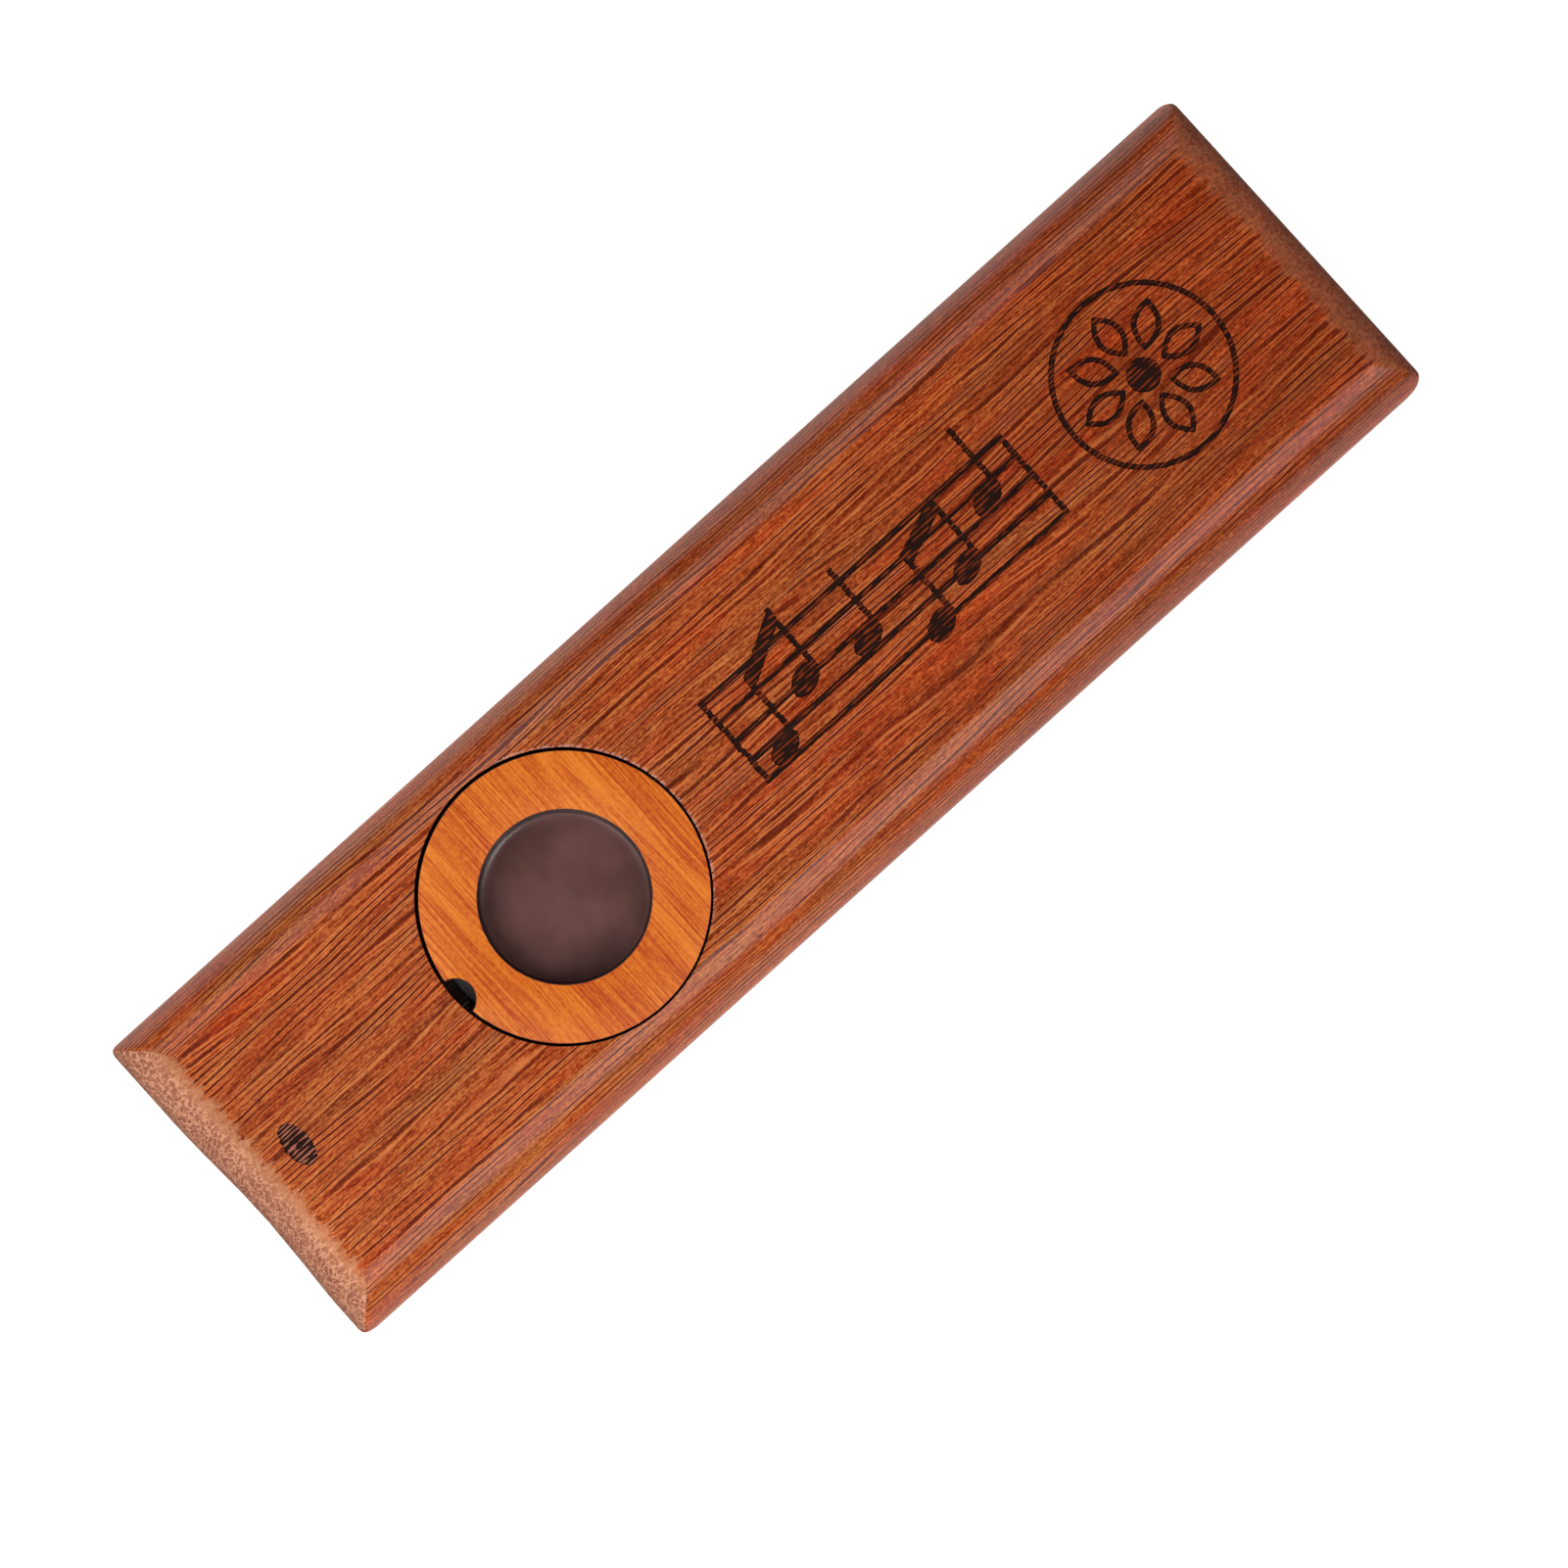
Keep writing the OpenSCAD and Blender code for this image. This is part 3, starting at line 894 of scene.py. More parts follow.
class Growth(Graph):
    """A geometry tree under construction, with named inputs."""

    def __init__(self, name):
        super().__init__(bpy.data.node_groups.new(name, "GeometryNodeTree"))
        self.tree.interface.new_socket("Geometry", in_out="OUTPUT", socket_type="NodeSocketGeometry")
        self.values = {}

    def ask(self, name, value):
        """A named input of the tree."""
        kind = "NodeSocketInt" if isinstance(value, int) else "NodeSocketFloat"
        socket = self.tree.interface.new_socket(name, in_out="INPUT", socket_type=kind)
        self.values[socket.identifier] = value
        given = self.tree.nodes.new("NodeGroupInput")
        return Term(self, given.outputs[socket.identifier])

    def merge(self, *parts):
        """Several geometries as one."""
        joined = self.node("GeometryNodeJoinGeometry")
        for part in parts:
            self.tree.links.new(part.socket, joined.socket.node.inputs[0])
        return joined

    def move(self, geometry, offset=None, position=None):
        """Moves each point by an offset, or to a position."""
        inputs = {"Geometry": geometry}
        if offset is not None:
            inputs["Offset"] = offset
        if position is not None:
            inputs["Position"] = position
        return self.node("GeometryNodeSetPosition", None, inputs)

    def place(self):
        """The X, Y and Z of each point."""
        return self.split(self.node("GeometryNodeInputPosition"))

    def circle(self, radius, points=96):
        """A circle as a curve."""
        return self.node(
            "GeometryNodeCurvePrimitiveCircle", {"mode": "RADIUS"}, {"Resolution": points, "Radius": radius}
        )

    def lens(self, length_along, width, centre):
        """A pointed oval along X."""
        x, y, _ = self.place()
        outline = self.circle(1.0, PETAL_SIDES)
        bent = self.join(x * length_along / 2 + centre, y * abs(y) * width / 2, 0.0)
        return self.move(outline, position=bent)

    def ragged_prism(self, curves, wander, low, high):
        """Fills flat curves and raises them, after letting their edges wander along the grain."""
        fine = self.node(
            "GeometryNodeResampleCurve", {"mode": "LENGTH"}, {"Curve": curves, "Length": RAGGED_STEP}
        )
        x, y, _ = self.place()
        tooth = self.noise(self.join(x / TOOTH_L, y / TOOTH_W, 0.0), detail=1)
        moved = self.move(fine, offset=self.join((tooth - 0.5) * 2 * wander, 0.0, 0.0))
        filled = self.node("GeometryNodeFillCurve", {"mode": "NGONS"}, {0: moved})
        raised = self.node(
            "GeometryNodeExtrudeMesh", {"mode": "FACES"},
            {"Mesh": filled, "Offset Scale": high - low, "Individual": False},
        )
        under = self.node("GeometryNodeFlipFaces", None, {0: filled})
        both = self.merge(raised, under)
        closed = self.node("GeometryNodeMergeByDistance", None, {0: both, "Distance": WELD})
        return self.move(closed, offset=(0.0, 0.0, low))

    def repeat(self, points, shape, rotation=None):
        """A copy of the shape on each point."""
        inputs = {"Points": points, "Instance": shape}
        if rotation:
            inputs["Rotation"] = rotation
        copies = self.node("GeometryNodeInstanceOnPoints", None, inputs)
        return self.node("GeometryNodeRealizeInstances", None, {0: copies})

    def spin(self, shape, count, offset=0):
        """Copies of the shape spread evenly round the upright axis, the first offset steps on."""
        index = self.node("GeometryNodeInputIndex")
        points = self.node("GeometryNodeMeshLine", None, {"Count": count, "Offset": (0.0, 0.0, 0.0)})
        if offset:
            index = index + offset
        return self.repeat(points, shape, self.join(0.0, 0.0, index * 2 * math.pi / count))

    def grow(self, name, geometry, material=None):
        """The tree's result as a plain mesh in a new object."""
        last = self.node("GeometryNodeSetMaterial", None, {0: geometry, "Material": material})
        out = self.tree.nodes.new("NodeGroupOutput")
        self.tree.links.new(last.socket, out.inputs[0])
        piece = new_piece(name, bpy.data.meshes.new(name))
        modifier = piece.modifiers.new(name, "NODES")
        modifier.node_group = self.tree
        for identifier, value in self.values.items():
            modifier[identifier] = value
        return plain_mesh(piece)


def stave_cutter(marks, low, high):
    """The stave's lines and the two bar lines that close it."""
    tree = Growth("Stave")
    count = tree.ask("Lines", marks.stave_lines)
    step = tree.ask("Step", marks.stave_step)
    along = tree.ask("Length", marks.stave_l)
    line_w = tree.ask("Line Width", marks.line_w)
    wander = tree.ask("Raggedness", marks.ragged)
    line = tree.node("GeometryNodeCurvePrimitiveQuadrilateral", None, {0: along, 1: line_w})
    start = tree.join(0.0, (count - 1) * step / -2, 0.0)
    rows = tree.node(
        "GeometryNodeMeshLine", None,
        {"Count": count, "Start Location": start, "Offset": tree.join(0.0, step, 0.0)},
    )
    prism = tree.ragged_prism(tree.repeat(rows, line), wander, low, high)
    return tree.grow("stave_cutter", prism)


# How many line widths shorter a petal's inner outline is, so that its pointed tips stay as thick
PETAL_TIPS = 2.6


def rosette_cutter(marks, low, high):
    """Petals round a hub, inside a rim, all drawn in thin lines."""
    rim_r = marks.rosette_d / 2
    petal_from = marks.hub_d / 2 + marks.line_w
    petal_l = rim_r - 3 * marks.line_w - petal_from
    tree = Growth("Rosette")
    count = tree.ask("Petals", marks.petals)
    outer = tree.ask("Rim Radius", rim_r)
    hub = tree.ask("Hub Radius", marks.hub_d / 2)
    along = tree.ask("Petal Length", petal_l)
    width = tree.ask("Petal Width", marks.petal_w)
    centre = tree.ask("Petal Centre", petal_from + petal_l / 2)
    line_w = tree.ask("Line Width", marks.line_w)
    wander = tree.ask("Raggedness", marks.ragged)
    inner_l = along - PETAL_TIPS * line_w
    petal = tree.merge(tree.lens(along, width, centre), tree.lens(inner_l, width - 2 * line_w, centre))
    petals = tree.spin(petal, count)
    curves = tree.merge(tree.circle(outer), tree.circle(outer - line_w), tree.circle(hub), petals)
    return tree.grow("rosette_cutter", tree.ragged_prism(curves, wander, low, high))


# Pieces


def grid_lines(body):
    """Where the body's grid lines lie along X and along Y."""
    mouth = rounding_lines(body.mouth_run, body.mouth_drop, body.arc_steps, body.crease_soften)
    far = rounding_lines(body.far_run, body.far_drop, body.arc_steps, body.crease_soften)
    side = rounding_lines(body.side_run, body.side_drop, body.arc_steps, body.crease_soften)
    xs = grid_places(CAD_LOW.x, CAD_HIGH.x, mouth, far)
    return xs, grid_places(CAD_LOW.y, CAD_HIGH.y, side, side)


def grid_places(low, high, after_low, before_high):
    """Grid places from low to high: fine over the roundings at either end, and even between them."""
    first = [low + inset for inset in after_low]
    last = [high - inset for inset in reversed(before_high)]
    return first + spread(first[-1], last[0], GRID_STEP) + last


def round_corner(x, y, body):
    """Moves a point of the plan's square corner onto the rounded one."""
    radius = body.corner_r if x < 0 else body.far_corner_r
    end = min(x - CAD_LOW.x, CAD_HIGH.x - x)
    side = min(y - CAD_LOW.y, CAD_HIGH.y - y)
    if end >= radius or side >= radius:
        return x, y
    dx, dy = radius - end, radius - side
    keep = max(dx, dy) / math.hypot(dx, dy)
    return x + math.copysign(dx * (1 - keep), -x), y + math.copysign(dy * (1 - keep), -y)


def body_surface(x, y, body):
    """A point above (x, y): its plan place, with the mouth end's hollow, and its drop from the flat.

    The hollow is deepest at the crease, and from there it fades out along the top.
    """
    x, y = round_corner(x, y, body)
    from_mouth = x - CAD_LOW.x
    side = below_flat(CAD_HIGH.y - abs(y), body.side_run, body.side_drop)
    end = max(
        below_flat(from_mouth, body.mouth_run, body.mouth_drop),
        below_flat(CAD_HIGH.x - x, body.far_run, body.far_drop),
    )
    side, end = soft_max(side, 0, body.side_ease), soft_max(end, 0, body.end_ease)
    drop = soft_max(side, end, min(body.mitre_ease, side, end))
    fade = max(0, 1 - max(0, from_mouth - body.mouth_run) / HOLLOW_FADE)
    across = max(0, 1 - ((y - body.hollow_aside) / (body.hollow_w / 2)) ** 2)
    hollow = body.hollow * (1 + CREASE_HOLLOW * min(1, from_mouth / body.mouth_run)) * fade**2 * across**2
    return x + hollow, y, drop


def half_shell(name, body, lower):
    """One half of the rounded block, closed by its flat glued face at the seam."""
    xs, ys = grid_lines(body)
    built = bmesh.new()
    grid = []
    for x in xs:
        row = []
        for y in ys:
            px, py, drop = body_surface(x, y, body)
            row.append(built.verts.new((px, py, drop if lower else TOP - drop)))
        grid.append(row)
    for near, far in zip(grid, grid[1:]):
        for j in range(len(ys) - 1):
            built.faces.new((near[j], far[j], far[j + 1], near[j + 1]))
    rim = [row[0] for row in grid] + grid[-1][1:] + [row[-1] for row in reversed(grid[:-1])]
    rim += list(reversed(grid[0][1:-1]))
    away = -1 if lower else 1
    groove = body.seam_groove
    for height, inset in ((SEAM + away * groove * 2, 0), (SEAM, groove)):
        loop = []
        for vert in rim:
            x, y, _ = vert.co
            inward = Vector((x, y, 0)).normalized() * inset
            loop.append(built.verts.new((x - inward.x, y - inward.y, height)))
        bridge(built, rim, loop)
        rim = loop
    built.faces.new(rim)
    return piece_from(name, built)


def slot_points(width, height, grow, steps=20):
    """A slot with round ends, as (y, z) points about its middle."""
    flat, radius = (width - height) / 2, height / 2 + grow
    points = []
    for side in (1, -1):
        for i in range(steps + 1):
            turn = math.pi * (i / steps - 1 / 2)
            points.append((side * (flat + radius * math.cos(turn)), side * radius * math.sin(turn)))
    return points


def channel_cutter(body):
    """The air channel, with rounded lips at both ends."""
    lip, steps = body.lip, 8
    depths = [lip * i / steps for i in range(steps + 1)]
    sections = [(depth, lip - math.sqrt(lip**2 - (lip - depth) ** 2)) for depth in depths]
    low, high = CAD_LOW.x, CAD_HIGH.x
    places = [(low - OVERRUN, lip)] + [(low + depth, grow) for depth, grow in sections]
    places += [(high - depth, grow) for depth, grow in reversed(sections)] + [(high + OVERRUN, lip)]
    rings = []
    for x, grow in places:
        outline = slot_points(body.channel_w, body.channel_h, grow)
        rings.append([(x, y, SEAM + z) for y, z in outline])
    return loft("channel_cutter", rings)


def recess_cutter(body):
    """The stepped recess, from above its eased edge down into the channel."""
    recess_r, seat_r = body.recess_d / 2, MEMBRANE_R + body.seat_gap
    edge, steps = body.edge_break, 5
    profile = [(body.throat_d / 2, SEAM - OVERRUN), (body.throat_d / 2, FILM_LOW.z), (seat_r, FILM_LOW.z)]
    profile += [(seat_r, RING_LOW.z), (recess_r, RING_LOW.z)]
    for i in range(steps + 1):
        turn = math.pi / 2 * i / steps
        profile.append((recess_r + edge * (1 - math.cos(turn)), TOP - edge + edge * math.sin(turn)))
    profile.append((recess_r + edge, TOP + OVERRUN))
    return turned("recess_cutter", profile, RECESS_SIDES)


def magnet_pockets(name, nodes):
    """Cutters for the pockets of these magnets, open towards the joint face."""
    outlines = []
    for node in nodes:
        low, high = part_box(node)
        middle = (low + high) / 2
        outlines.append(circle(middle.x, middle.y, (high.x - low.x) / 2 + MAGNET_PLAY, POCKET_SIDES))
    above = high.z > RING_LOW.z + MAGNET_PLAY
    bottom, top = (low.z - OVERRUN, high.z) if above else (low.z, high.z + OVERRUN)
    return prisms(name, outlines, bottom, top)


def ragged(outline, wander):
    """Splits an outline finely and lets it wander along the grain."""
    points = []
    for (x0, y0), (x1, y1) in zip(outline, outline[1:] + outline[:1]):
        count = max(1, round(math.hypot(x1 - x0, y1 - y0) / RAGGED_STEP))
        for i in range(count):
            x, y = x0 + (x1 - x0) * i / count, y0 + (y1 - y0) * i / count
            tooth = noise.noise(Vector((x / TOOTH_L, y / TOOTH_W, 0)))
            points.append((x + tooth * wander, y))
    return points


# The notes: each a share of the stave's length, and half steps above its middle line
NOTE_SHARES = ((0.09, -3), (0.24, 0), (0.42, -1), (0.58, -4), (0.72, -2), (0.87, 1))
BEAMS = ((0, 1), (3, 4))
HEAD_TILT = math.radians(22)
# How much more the notes' edges wander than the stave's and the rosette's
DRAWN_WANDER = 1.6


def note_cutters(marks, low, high):
    """The bar lines, note heads, stems and beams, each kind a cutter of its own."""
    middle = CAD_LOW.x + marks.stave_x
    line, half = marks.line_w, marks.line_w / 2
    height = (marks.stave_lines - 1) * marks.stave_step + line

    def upright(x, y0, y1):
        """The outline of a line across the body, from y0 to y1."""
        return [(x - half, y0), (x + half, y0), (x + half, y1), (x - half, y1)]

    ends = [middle + side * (marks.stave_l - line) / 2 for side in (-1, 1)]
    bars = [upright(x, -height / 2, height / 2) for x in ends]
    heads, stems, tops = [], [], []
    for share, steps in NOTE_SHARES:
        x, y = middle + marks.stave_l * (share - 1 / 2), steps * marks.stave_step / 2
        heads.append(oval(x, y, marks.head_l, marks.stave_step, HEAD_TILT))
        stem_x = x + (marks.head_l - line) / 2
        stems.append(upright(stem_x, y, y + marks.stem_l))
        tops.append((stem_x, y + marks.stem_l))
    beams = []
    for first, last in BEAMS:
        x0, y0 = tops[first][0] - half, tops[first][1]
        x1, y1 = tops[last][0] + half, tops[last][1]
        beams.append([(x0, y0), (x0, y0 - marks.beam_t), (x1, y1 - marks.beam_t), (x1, y1)])
    mark = [oval(CAD_LOW.x + marks.oval_x, -marks.oval_aside, marks.oval_l, marks.oval_w)]
    kinds = {"bars": bars, "heads": heads, "stems": stems, "beams": beams, "oval": mark}
    cutters = []
    for name, outlines in kinds.items():
        edges = [ragged(outline, marks.ragged * DRAWN_WANDER) for outline in outlines]
        cutters.append(prisms(name + "_cutter", edges, low, high))
    return cutters


def mark_cutters(marks):
    """All that is burnt into the top, cut to one depth."""
    low, high = TOP - marks.depth, TOP + OVERRUN
    stave = stave_cutter(marks, low, high)
    stave.data.transform(Matrix.Translation((CAD_LOW.x + marks.stave_x, 0, 0)))
    rosette = rosette_cutter(marks, low, high)
    rosette.data.transform(Matrix.Translation((CAD_LOW.x + marks.rosette_x, 0, 0)))
    return [stave, rosette, *note_cutters(marks, low, high)]


def ring_slip(ring):
    """Where the loose ring lies in its recess."""
    centre = Vector((MEMBRANE_X, 0, 0))
    slip = Matrix.Translation((ring.slip_x, ring.slip_y, 0))
    turn = Matrix.Rotation(ring.turn, 4, "Z")
    return slip @ Matrix.Translation(centre) @ turn @ Matrix.Translation(-centre)


# How far the lower half's grain is from the upper one's, in millimetres
LOWER_GRAIN_SHIFT = (61.0, 23.0, 40.0)
RING_MAGNETS = sorted(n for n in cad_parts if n.startswith("ring_magnet"))
SEAT_MAGNETS = sorted(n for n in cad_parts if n.startswith("seat_magnet"))


class KAZOO_OT_body(bpy.types.Operator):
    """Makes both halves of the hardwood body, with the channel, the recess and the burnt marks"""

    bl_idname = "kazoo.make_body"
    bl_label = "Body"

    def execute(self, context):
        scene = context.scene
        body, colours = scene.kazoo_body, scene.kazoo_colours
        cutters = [channel_cutter(body), recess_cutter(body), magnet_pockets("seat_pockets", SEAT_MAGNETS)]
        cutters += mark_cutters(scene.kazoo_marks)
        self.half("lower", body, colours, [channel_cutter(body)], LOWER_GRAIN_SHIFT)
        self.half("upper", body, colours, cutters, (0.0, 0.0, 0.0))
        return {"FINISHED"}

    @staticmethod
    def half(side, body, colours, cutters, grain_shift):
        """One half, cut out of other wood than its fellow where its grain is shifted."""
        piece = carve(half_shell("body_" + side, body, side == "lower"), cutters)
        smooth(piece)
        wood = body_wood("body_wood_" + side, colours, body, grain_shift)
        dress(piece, wood, "body", [side + "_body"])


class KAZOO_OT_cover_ring(bpy.types.Operator):
    """Makes the wooden cover ring with its window and its fingernail notch"""

    bl_idname = "kazoo.make_cover_ring"
    bl_label = "Cover Ring"

    def execute(self, context):
        ring = context.scene.kazoo_ring
        low, high, edge = RING_LOW.z, RING_HIGH.z, ring.edge_r
        window_r, notch_r, steps = ring.window_d / 2, ring.notch_d / 2, 4
        profile = [(window_r, low), (RING_R, low)]
        for quarter, middle in ((0, RING_R - edge), (1, window_r + edge)):
            for i in range(steps + 1):
                turn = math.pi / 2 * (quarter + i / steps)
                profile.append((middle + edge * math.cos(turn), high - edge + edge * math.sin(turn)))
        piece = turned("cover_ring_board", profile, RING_SIDES, closed=True)
        notch_x = MEMBRANE_X - RING_R + ring.notch_depth - notch_r
        outline = circle(notch_x, 0, notch_r, NOTCH_SIDES)
        notch = prisms("notch", [outline], low - OVERRUN, high + OVERRUN)
        carve(piece, [notch, magnet_pockets("ring_pockets", RING_MAGNETS)])
        piece.data.transform(ring_slip(ring))
        smooth(piece)
        dress(piece, ring_wood(context.scene.kazoo_colours, ring), "ring", ["cover_ring"])
        return {"FINISHED"}


class KAZOO_OT_membrane(bpy.types.Operator):
    """Makes the membrane: its crowned glossy film and the stiff rim that carries it"""

    bl_idname = "kazoo.make_membrane"
    bl_label = "Membrane"

    def execute(self, context):
        ring, colours = context.scene.kazoo_ring, context.scene.kazoo_colours
        film = self.film(ring)
        smooth(film, sharpest=math.radians(40))
        dress(film, film_finish(colours, ring), "membrane", ["membrane_film"])
        rim = self.rim(ring)
        smooth(rim, sharpest=math.radians(50))
        dress(rim, rim_finish(colours), "membrane", ["membrane_rim"])
        return {"FINISHED"}

    @staticmethod
    def film(ring):
        """The film: crowned in the window, and turned up at the window's edge."""
        window_r, steps = ring.window_d / 2, 40
        thick = FILM_HIGH.z - FILM_LOW.z
        centre = FILM_HIGH.z - ring.film_roll + ring.film_crown
        built = bmesh.new()
        tops, unders = [], []
        for i in range(1, steps + 1):
            radius = MEMBRANE_R * i / steps
            into = min(1, radius / window_r)
            sink = ring.film_roll - ring.film_crown * (1 - into**2)
            turn_in = min(1, max(0, (radius - window_r + ring.roll_w) / ring.roll_w))
            height = FILM_HIGH.z - sink * (1 - turn_in * turn_in)
            spots = circle(MEMBRANE_X, 0, radius, MEMBRANE_SIDES)
            tops.append([built.verts.new((x, y, height)) for x, y in spots])
            unders.append([built.verts.new((x, y, height - thick)) for x, y in spots])
        for loops, height in ((tops, centre), (unders, centre - thick)):
            pole, first = built.verts.new((MEMBRANE_X, 0, height)), loops[0]
            for near, far in zip(first, first[1:] + first[:1]):
                built.faces.new((pole, near, far))
            for near, far in zip(loops, loops[1:]):
                bridge(built, near, far)
        bridge(built, tops[-1], unders[-1])
        return piece_from("film_crowned", built)

    @staticmethod
    def rim(ring):
        """The flat rim, with its upper edges broken."""
        inner_r, low, high = MEMBRANE_R - ring.rim_w, RIM_LOW.z, RIM_HIGH.z
        profile = [
            (inner_r, low), (MEMBRANE_R, low), (MEMBRANE_R, high - RIM_EDGE), (MEMBRANE_R - RIM_EDGE, high),
            (inner_r + RIM_EDGE, high), (inner_r, high - RIM_EDGE),
        ]
        return turned("rim_board", profile, MEMBRANE_SIDES, closed=True)


class KAZOO_OT_magnets(bpy.types.Operator):
    """Makes the disc magnets, four in the ring and four in the body"""

    bl_idname = "kazoo.make_magnets"
    bl_label = "Magnets"

    def execute(self, context):
        finish = magnet_finish(context.scene.kazoo_colours)
        ring = context.scene.kazoo_ring
        sets = ((RING_MAGNETS, "ring", ring_slip(ring)), (SEAT_MAGNETS, "body", Matrix()))
        for nodes, body, moved in sets:
            piece = self.discs("magnets_in_" + body, nodes, ring.magnet_edge, finish)
            piece.data.transform(moved)
            smooth(piece)
            dress(piece, finish, body, nodes)
        return {"FINISHED"}

    @staticmethod
    def discs(name, nodes, edge, finish):
        """Discs with rounded edges, spaced evenly round the membrane's axis."""
        low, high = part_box(nodes[0])
        middle = (low + high) / 2
        reach = math.hypot(middle.x - MEMBRANE_X, middle.y)
        tree = Growth(name.replace("_", " ").title())
        count = tree.ask("Count", len(nodes))
        circle_r = tree.ask("Circle Radius", reach)
        radius = tree.ask("Radius", (high.x - low.x) / 2)
        thick = tree.ask("Thickness", high.z - low.z)
        round_r = tree.ask("Edge Radius", edge)
        top = tree.join(0.0, 0.0, thick)
        spine = tree.node("GeometryNodeCurvePrimitiveLine", None, {"Start": (0, 0, 0), "End": top})
        spine = tree.node(
            "GeometryNodeResampleCurve", {"mode": "COUNT"}, {"Curve": spine, "Count": DISC_RINGS}
        )
        _, _, z = tree.place()
        to_face = tree.math("MINIMUM", z, thick - z)
        short = tree.greater(round_r - to_face, 0.0)
        bulge = tree.math("SQRT", tree.greater(round_r * round_r - short * short, 0.0))
        width = radius - round_r + bulge
        outline = tree.circle(1.0, DISC_SIDES)
        tube = tree.node(
            "GeometryNodeCurveToMesh", None,
            {"Curve": spine, "Profile Curve": outline, "Scale": width, "Fill Caps": True},
        )
        moved = tree.move(tube, offset=tree.join(circle_r, 0.0, low.z))
        piece = tree.grow(name, tree.spin(moved, count, 0.5), finish)
        piece.data.transform(Matrix.Translation((MEMBRANE_X, 0, 0)))
        return piece


# The lights: name, place, size, and how bright each looks, and the backdrop as seen and as it lights
LIGHTS = (
    ("mouth_box", (-0.35, -0.02, 0.44), (0.34, 0.4), 5.2),
    ("right_box", (-0.05, -0.36, 0.42), (0.9, 0.3), 3.9),
    ("left_box", (-0.05, 0.4, 0.42), (0.9, 0.3), 2.2),
    ("film_lamp", (0.02, -0.22, 0.8), (0.12, 0.06), 24.0),
)
SEEN_BACKDROP = 0.85
DARK_ROOM = 0.008
# How far the floor lies under the kazoo, so that the two faces don't meet
FLOOR_DROP = 0.01 * MM
# The camera leans to the mouth end and to the right side, and is rolled; it aims into the body
CAMERA_TURNS = (("Y", -0.99), ("X", 1.8), ("Z", -42.033))
CAMERA_AIM = Vector((-2.721 * MM, -5.078 * MM, 7.5 * MM))
PICTURE = 1601
SENSOR = 36.0


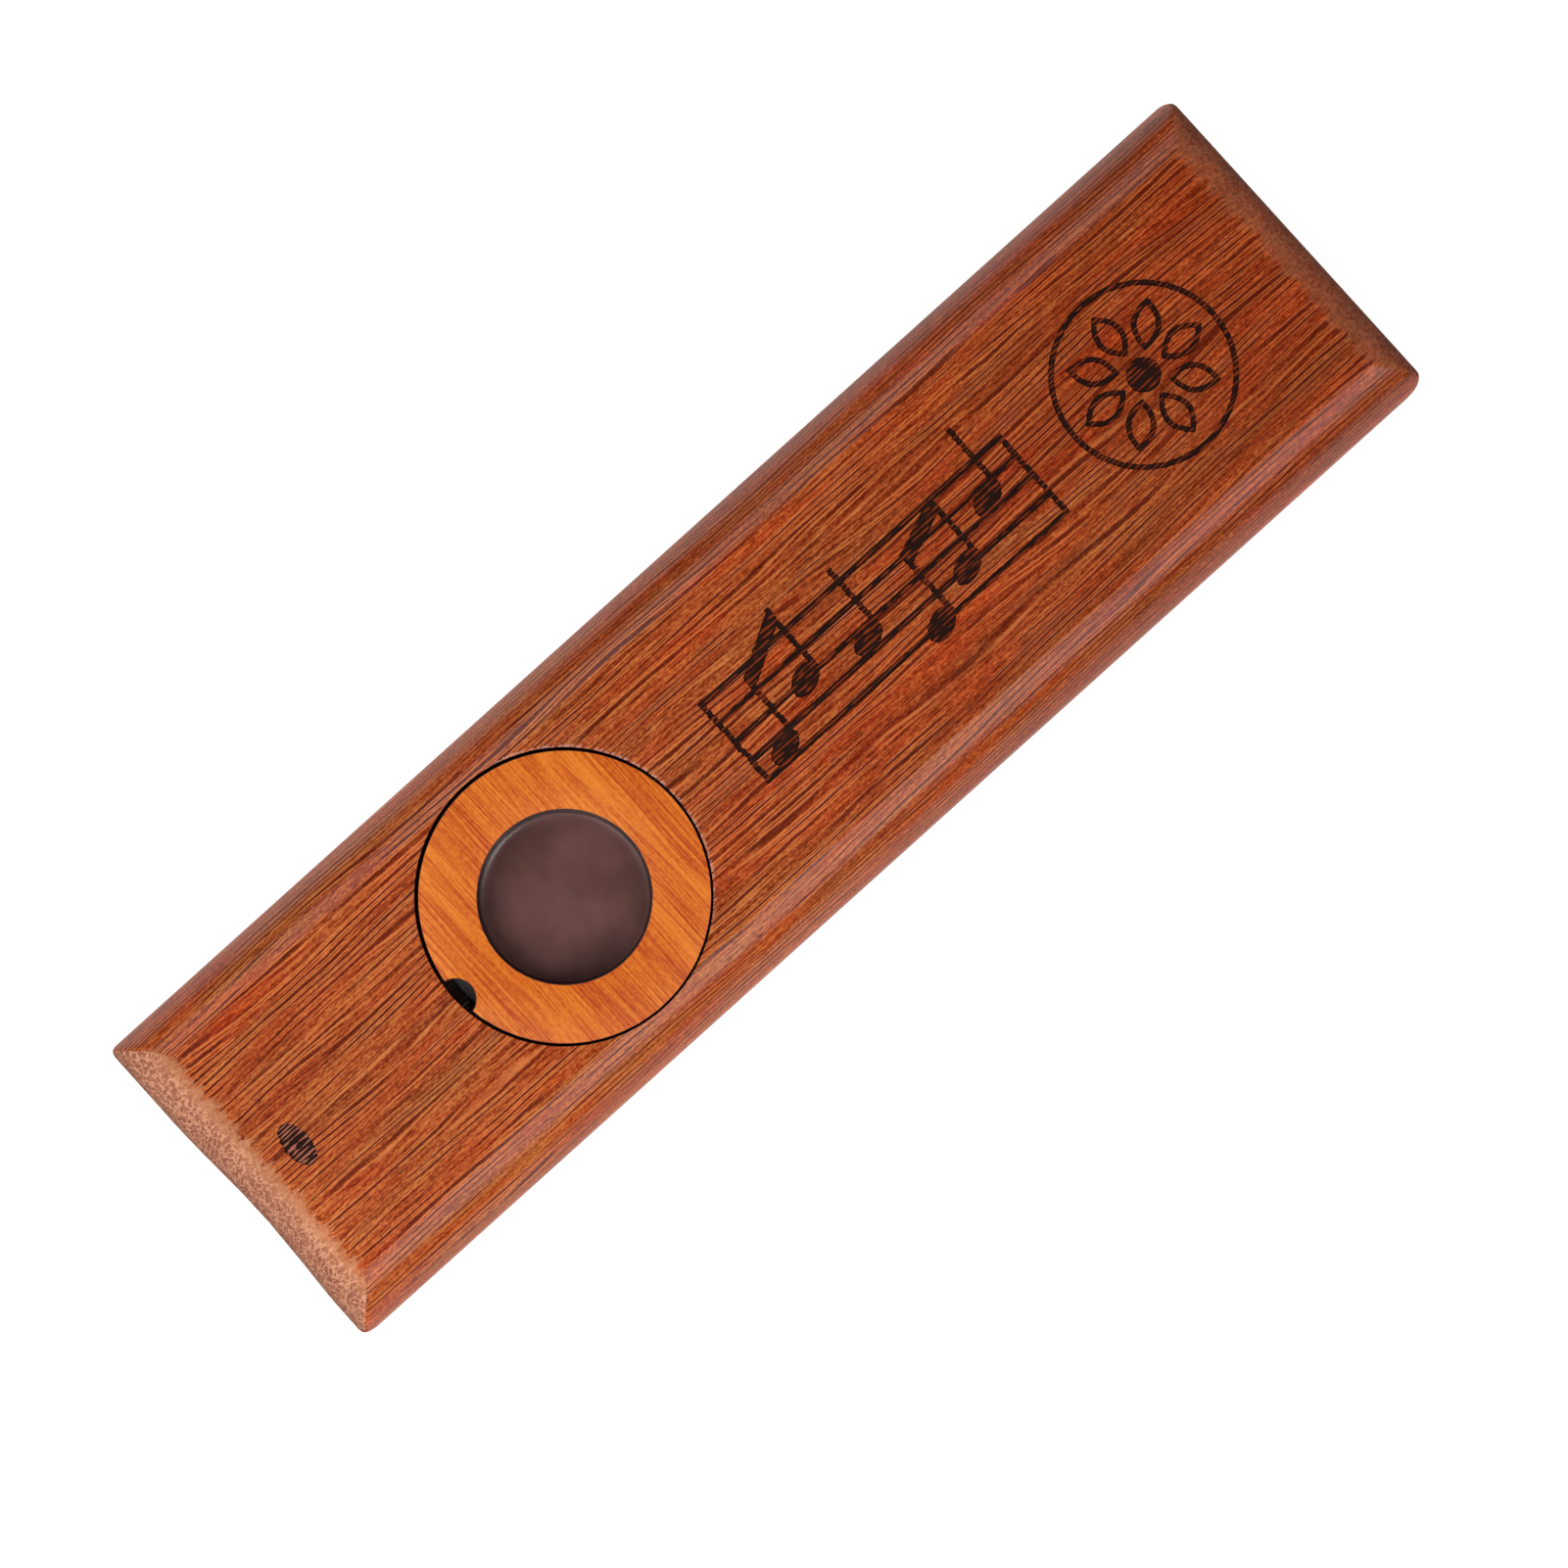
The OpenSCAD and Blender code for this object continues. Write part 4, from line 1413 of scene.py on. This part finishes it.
class KAZOO_OT_stage(bpy.types.Operator):
    """Makes the floor, the soft lights and the camera"""

    bl_idname = "kazoo.make_stage"
    bl_label = "Stage"

    def execute(self, context):
        stage = context.scene.kazoo_stage
        half = stage.floor_size / 2
        built = bmesh.new()
        corners = [(-half, -half), (half, -half), (half, half), (-half, half)]
        built.faces.new([built.verts.new((x, y, -FLOOR_DROP)) for x, y in corners])
        floor = piece_from("floor", built)
        floor.data.materials.append(floor_finish(context.scene.kazoo_colours))
        self.lights(context.scene)
        self.backdrop(context.scene)
        self.camera(context.scene, stage)
        return {"FINISHED"}

    @staticmethod
    def lights(scene):
        """Big soft boxes round the kazoo, the brightest beyond its mouth end."""
        for name, place, size, radiance in LIGHTS:
            light = bpy.data.lights.new(name, "AREA")
            light.shape = "RECTANGLE"
            light.size, light.size_y = size
            light.energy = radiance * math.pi * size[0] * size[1]
            lamp = bpy.data.objects.new(name, light)
            lamp.location = place
            lamp.rotation_euler = (-Vector(place)).to_track_quat("-Z", "Y").to_euler()
            scene.collection.objects.link(lamp)
        scene.view_settings.view_transform = "Standard"

    @staticmethod
    def backdrop(scene):
        """Almost dark, so that the wood shows its own colour, but as pale as the floor to the camera."""
        scene.world = bpy.data.worlds.new("studio")
        scene.world.use_nodes = True
        sky = Graph(scene.world.node_tree)
        seen = sky.node("ShaderNodeLightPath")
        level = seen * SEEN_BACKDROP + DARK_ROOM
        background = sky.tree.nodes["Background"]
        background.inputs["Color"].default_value = (1, 1, 1, 1)
        sky.tree.links.new(level.socket, background.inputs["Strength"])

    @staticmethod
    def camera(scene, stage):
        """Nearly straight above, leaning a little to the mouth end and to the right side."""
        turn = Matrix.Identity(3)
        for axis, degrees in CAMERA_TURNS:
            turn = turn @ Matrix.Rotation(math.radians(degrees), 3, axis)
        data = bpy.data.cameras.new("camera")
        data.sensor_width = SENSOR
        data.lens = stage.camera_scale * stage.camera_distance / MM / PICTURE * SENSOR
        camera = bpy.data.objects.new("camera", data)
        camera.location = CAMERA_AIM + turn.col[2] * stage.camera_distance
        camera.rotation_euler = turn.to_euler()
        scene.collection.objects.link(camera)
        scene.camera = camera


class KAZOO_PT_panel(bpy.types.Panel):
    """Lists the kazoo's sizes, colours and pieces"""

    bl_idname = "KAZOO_PT_panel"
    bl_label = "Wooden Kazoo"
    bl_space_type = "VIEW_3D"
    bl_region_type = "UI"
    bl_category = "Kazoo"

    def draw(self, context):
        """A button for each piece, then the settings."""
        for operator in OPERATORS:
            self.layout.operator(operator.bl_idname)
        for name, _ in GROUPS:
            group = getattr(context.scene, name)
            box = self.layout.box()
            for key in group.__annotations__:
                box.prop(group, key)


OPERATORS = (KAZOO_OT_body, KAZOO_OT_cover_ring, KAZOO_OT_membrane, KAZOO_OT_magnets, KAZOO_OT_stage)
GROUPS = (
    ("kazoo_body", KazooBodySizes),
    ("kazoo_marks", KazooMarkSizes),
    ("kazoo_ring", KazooRingSizes),
    ("kazoo_colours", KazooColours),
    ("kazoo_stage", KazooStageSizes),
)


def register():
    """Adds the settings, the operators and the panel to Blender."""
    for name, group in GROUPS:
        bpy.utils.register_class(group)
        setattr(bpy.types.Scene, name, PointerProperty(type=group))
    for operator in OPERATORS:
        bpy.utils.register_class(operator)
    bpy.utils.register_class(KAZOO_PT_panel)


def unregister():
    """Takes them all away again."""
    bpy.utils.unregister_class(KAZOO_PT_panel)
    for operator in reversed(OPERATORS):
        bpy.utils.unregister_class(operator)
    for name, group in reversed(GROUPS):
        delattr(bpy.types.Scene, name)
        bpy.utils.unregister_class(group)


def main():
    """Makes every piece."""
    register()
    bpy.ops.kazoo.make_stage()
    bpy.ops.kazoo.make_body()
    bpy.ops.kazoo.make_cover_ring()
    bpy.ops.kazoo.make_membrane()
    bpy.ops.kazoo.make_magnets()


if __name__ == "__main__":
    main()
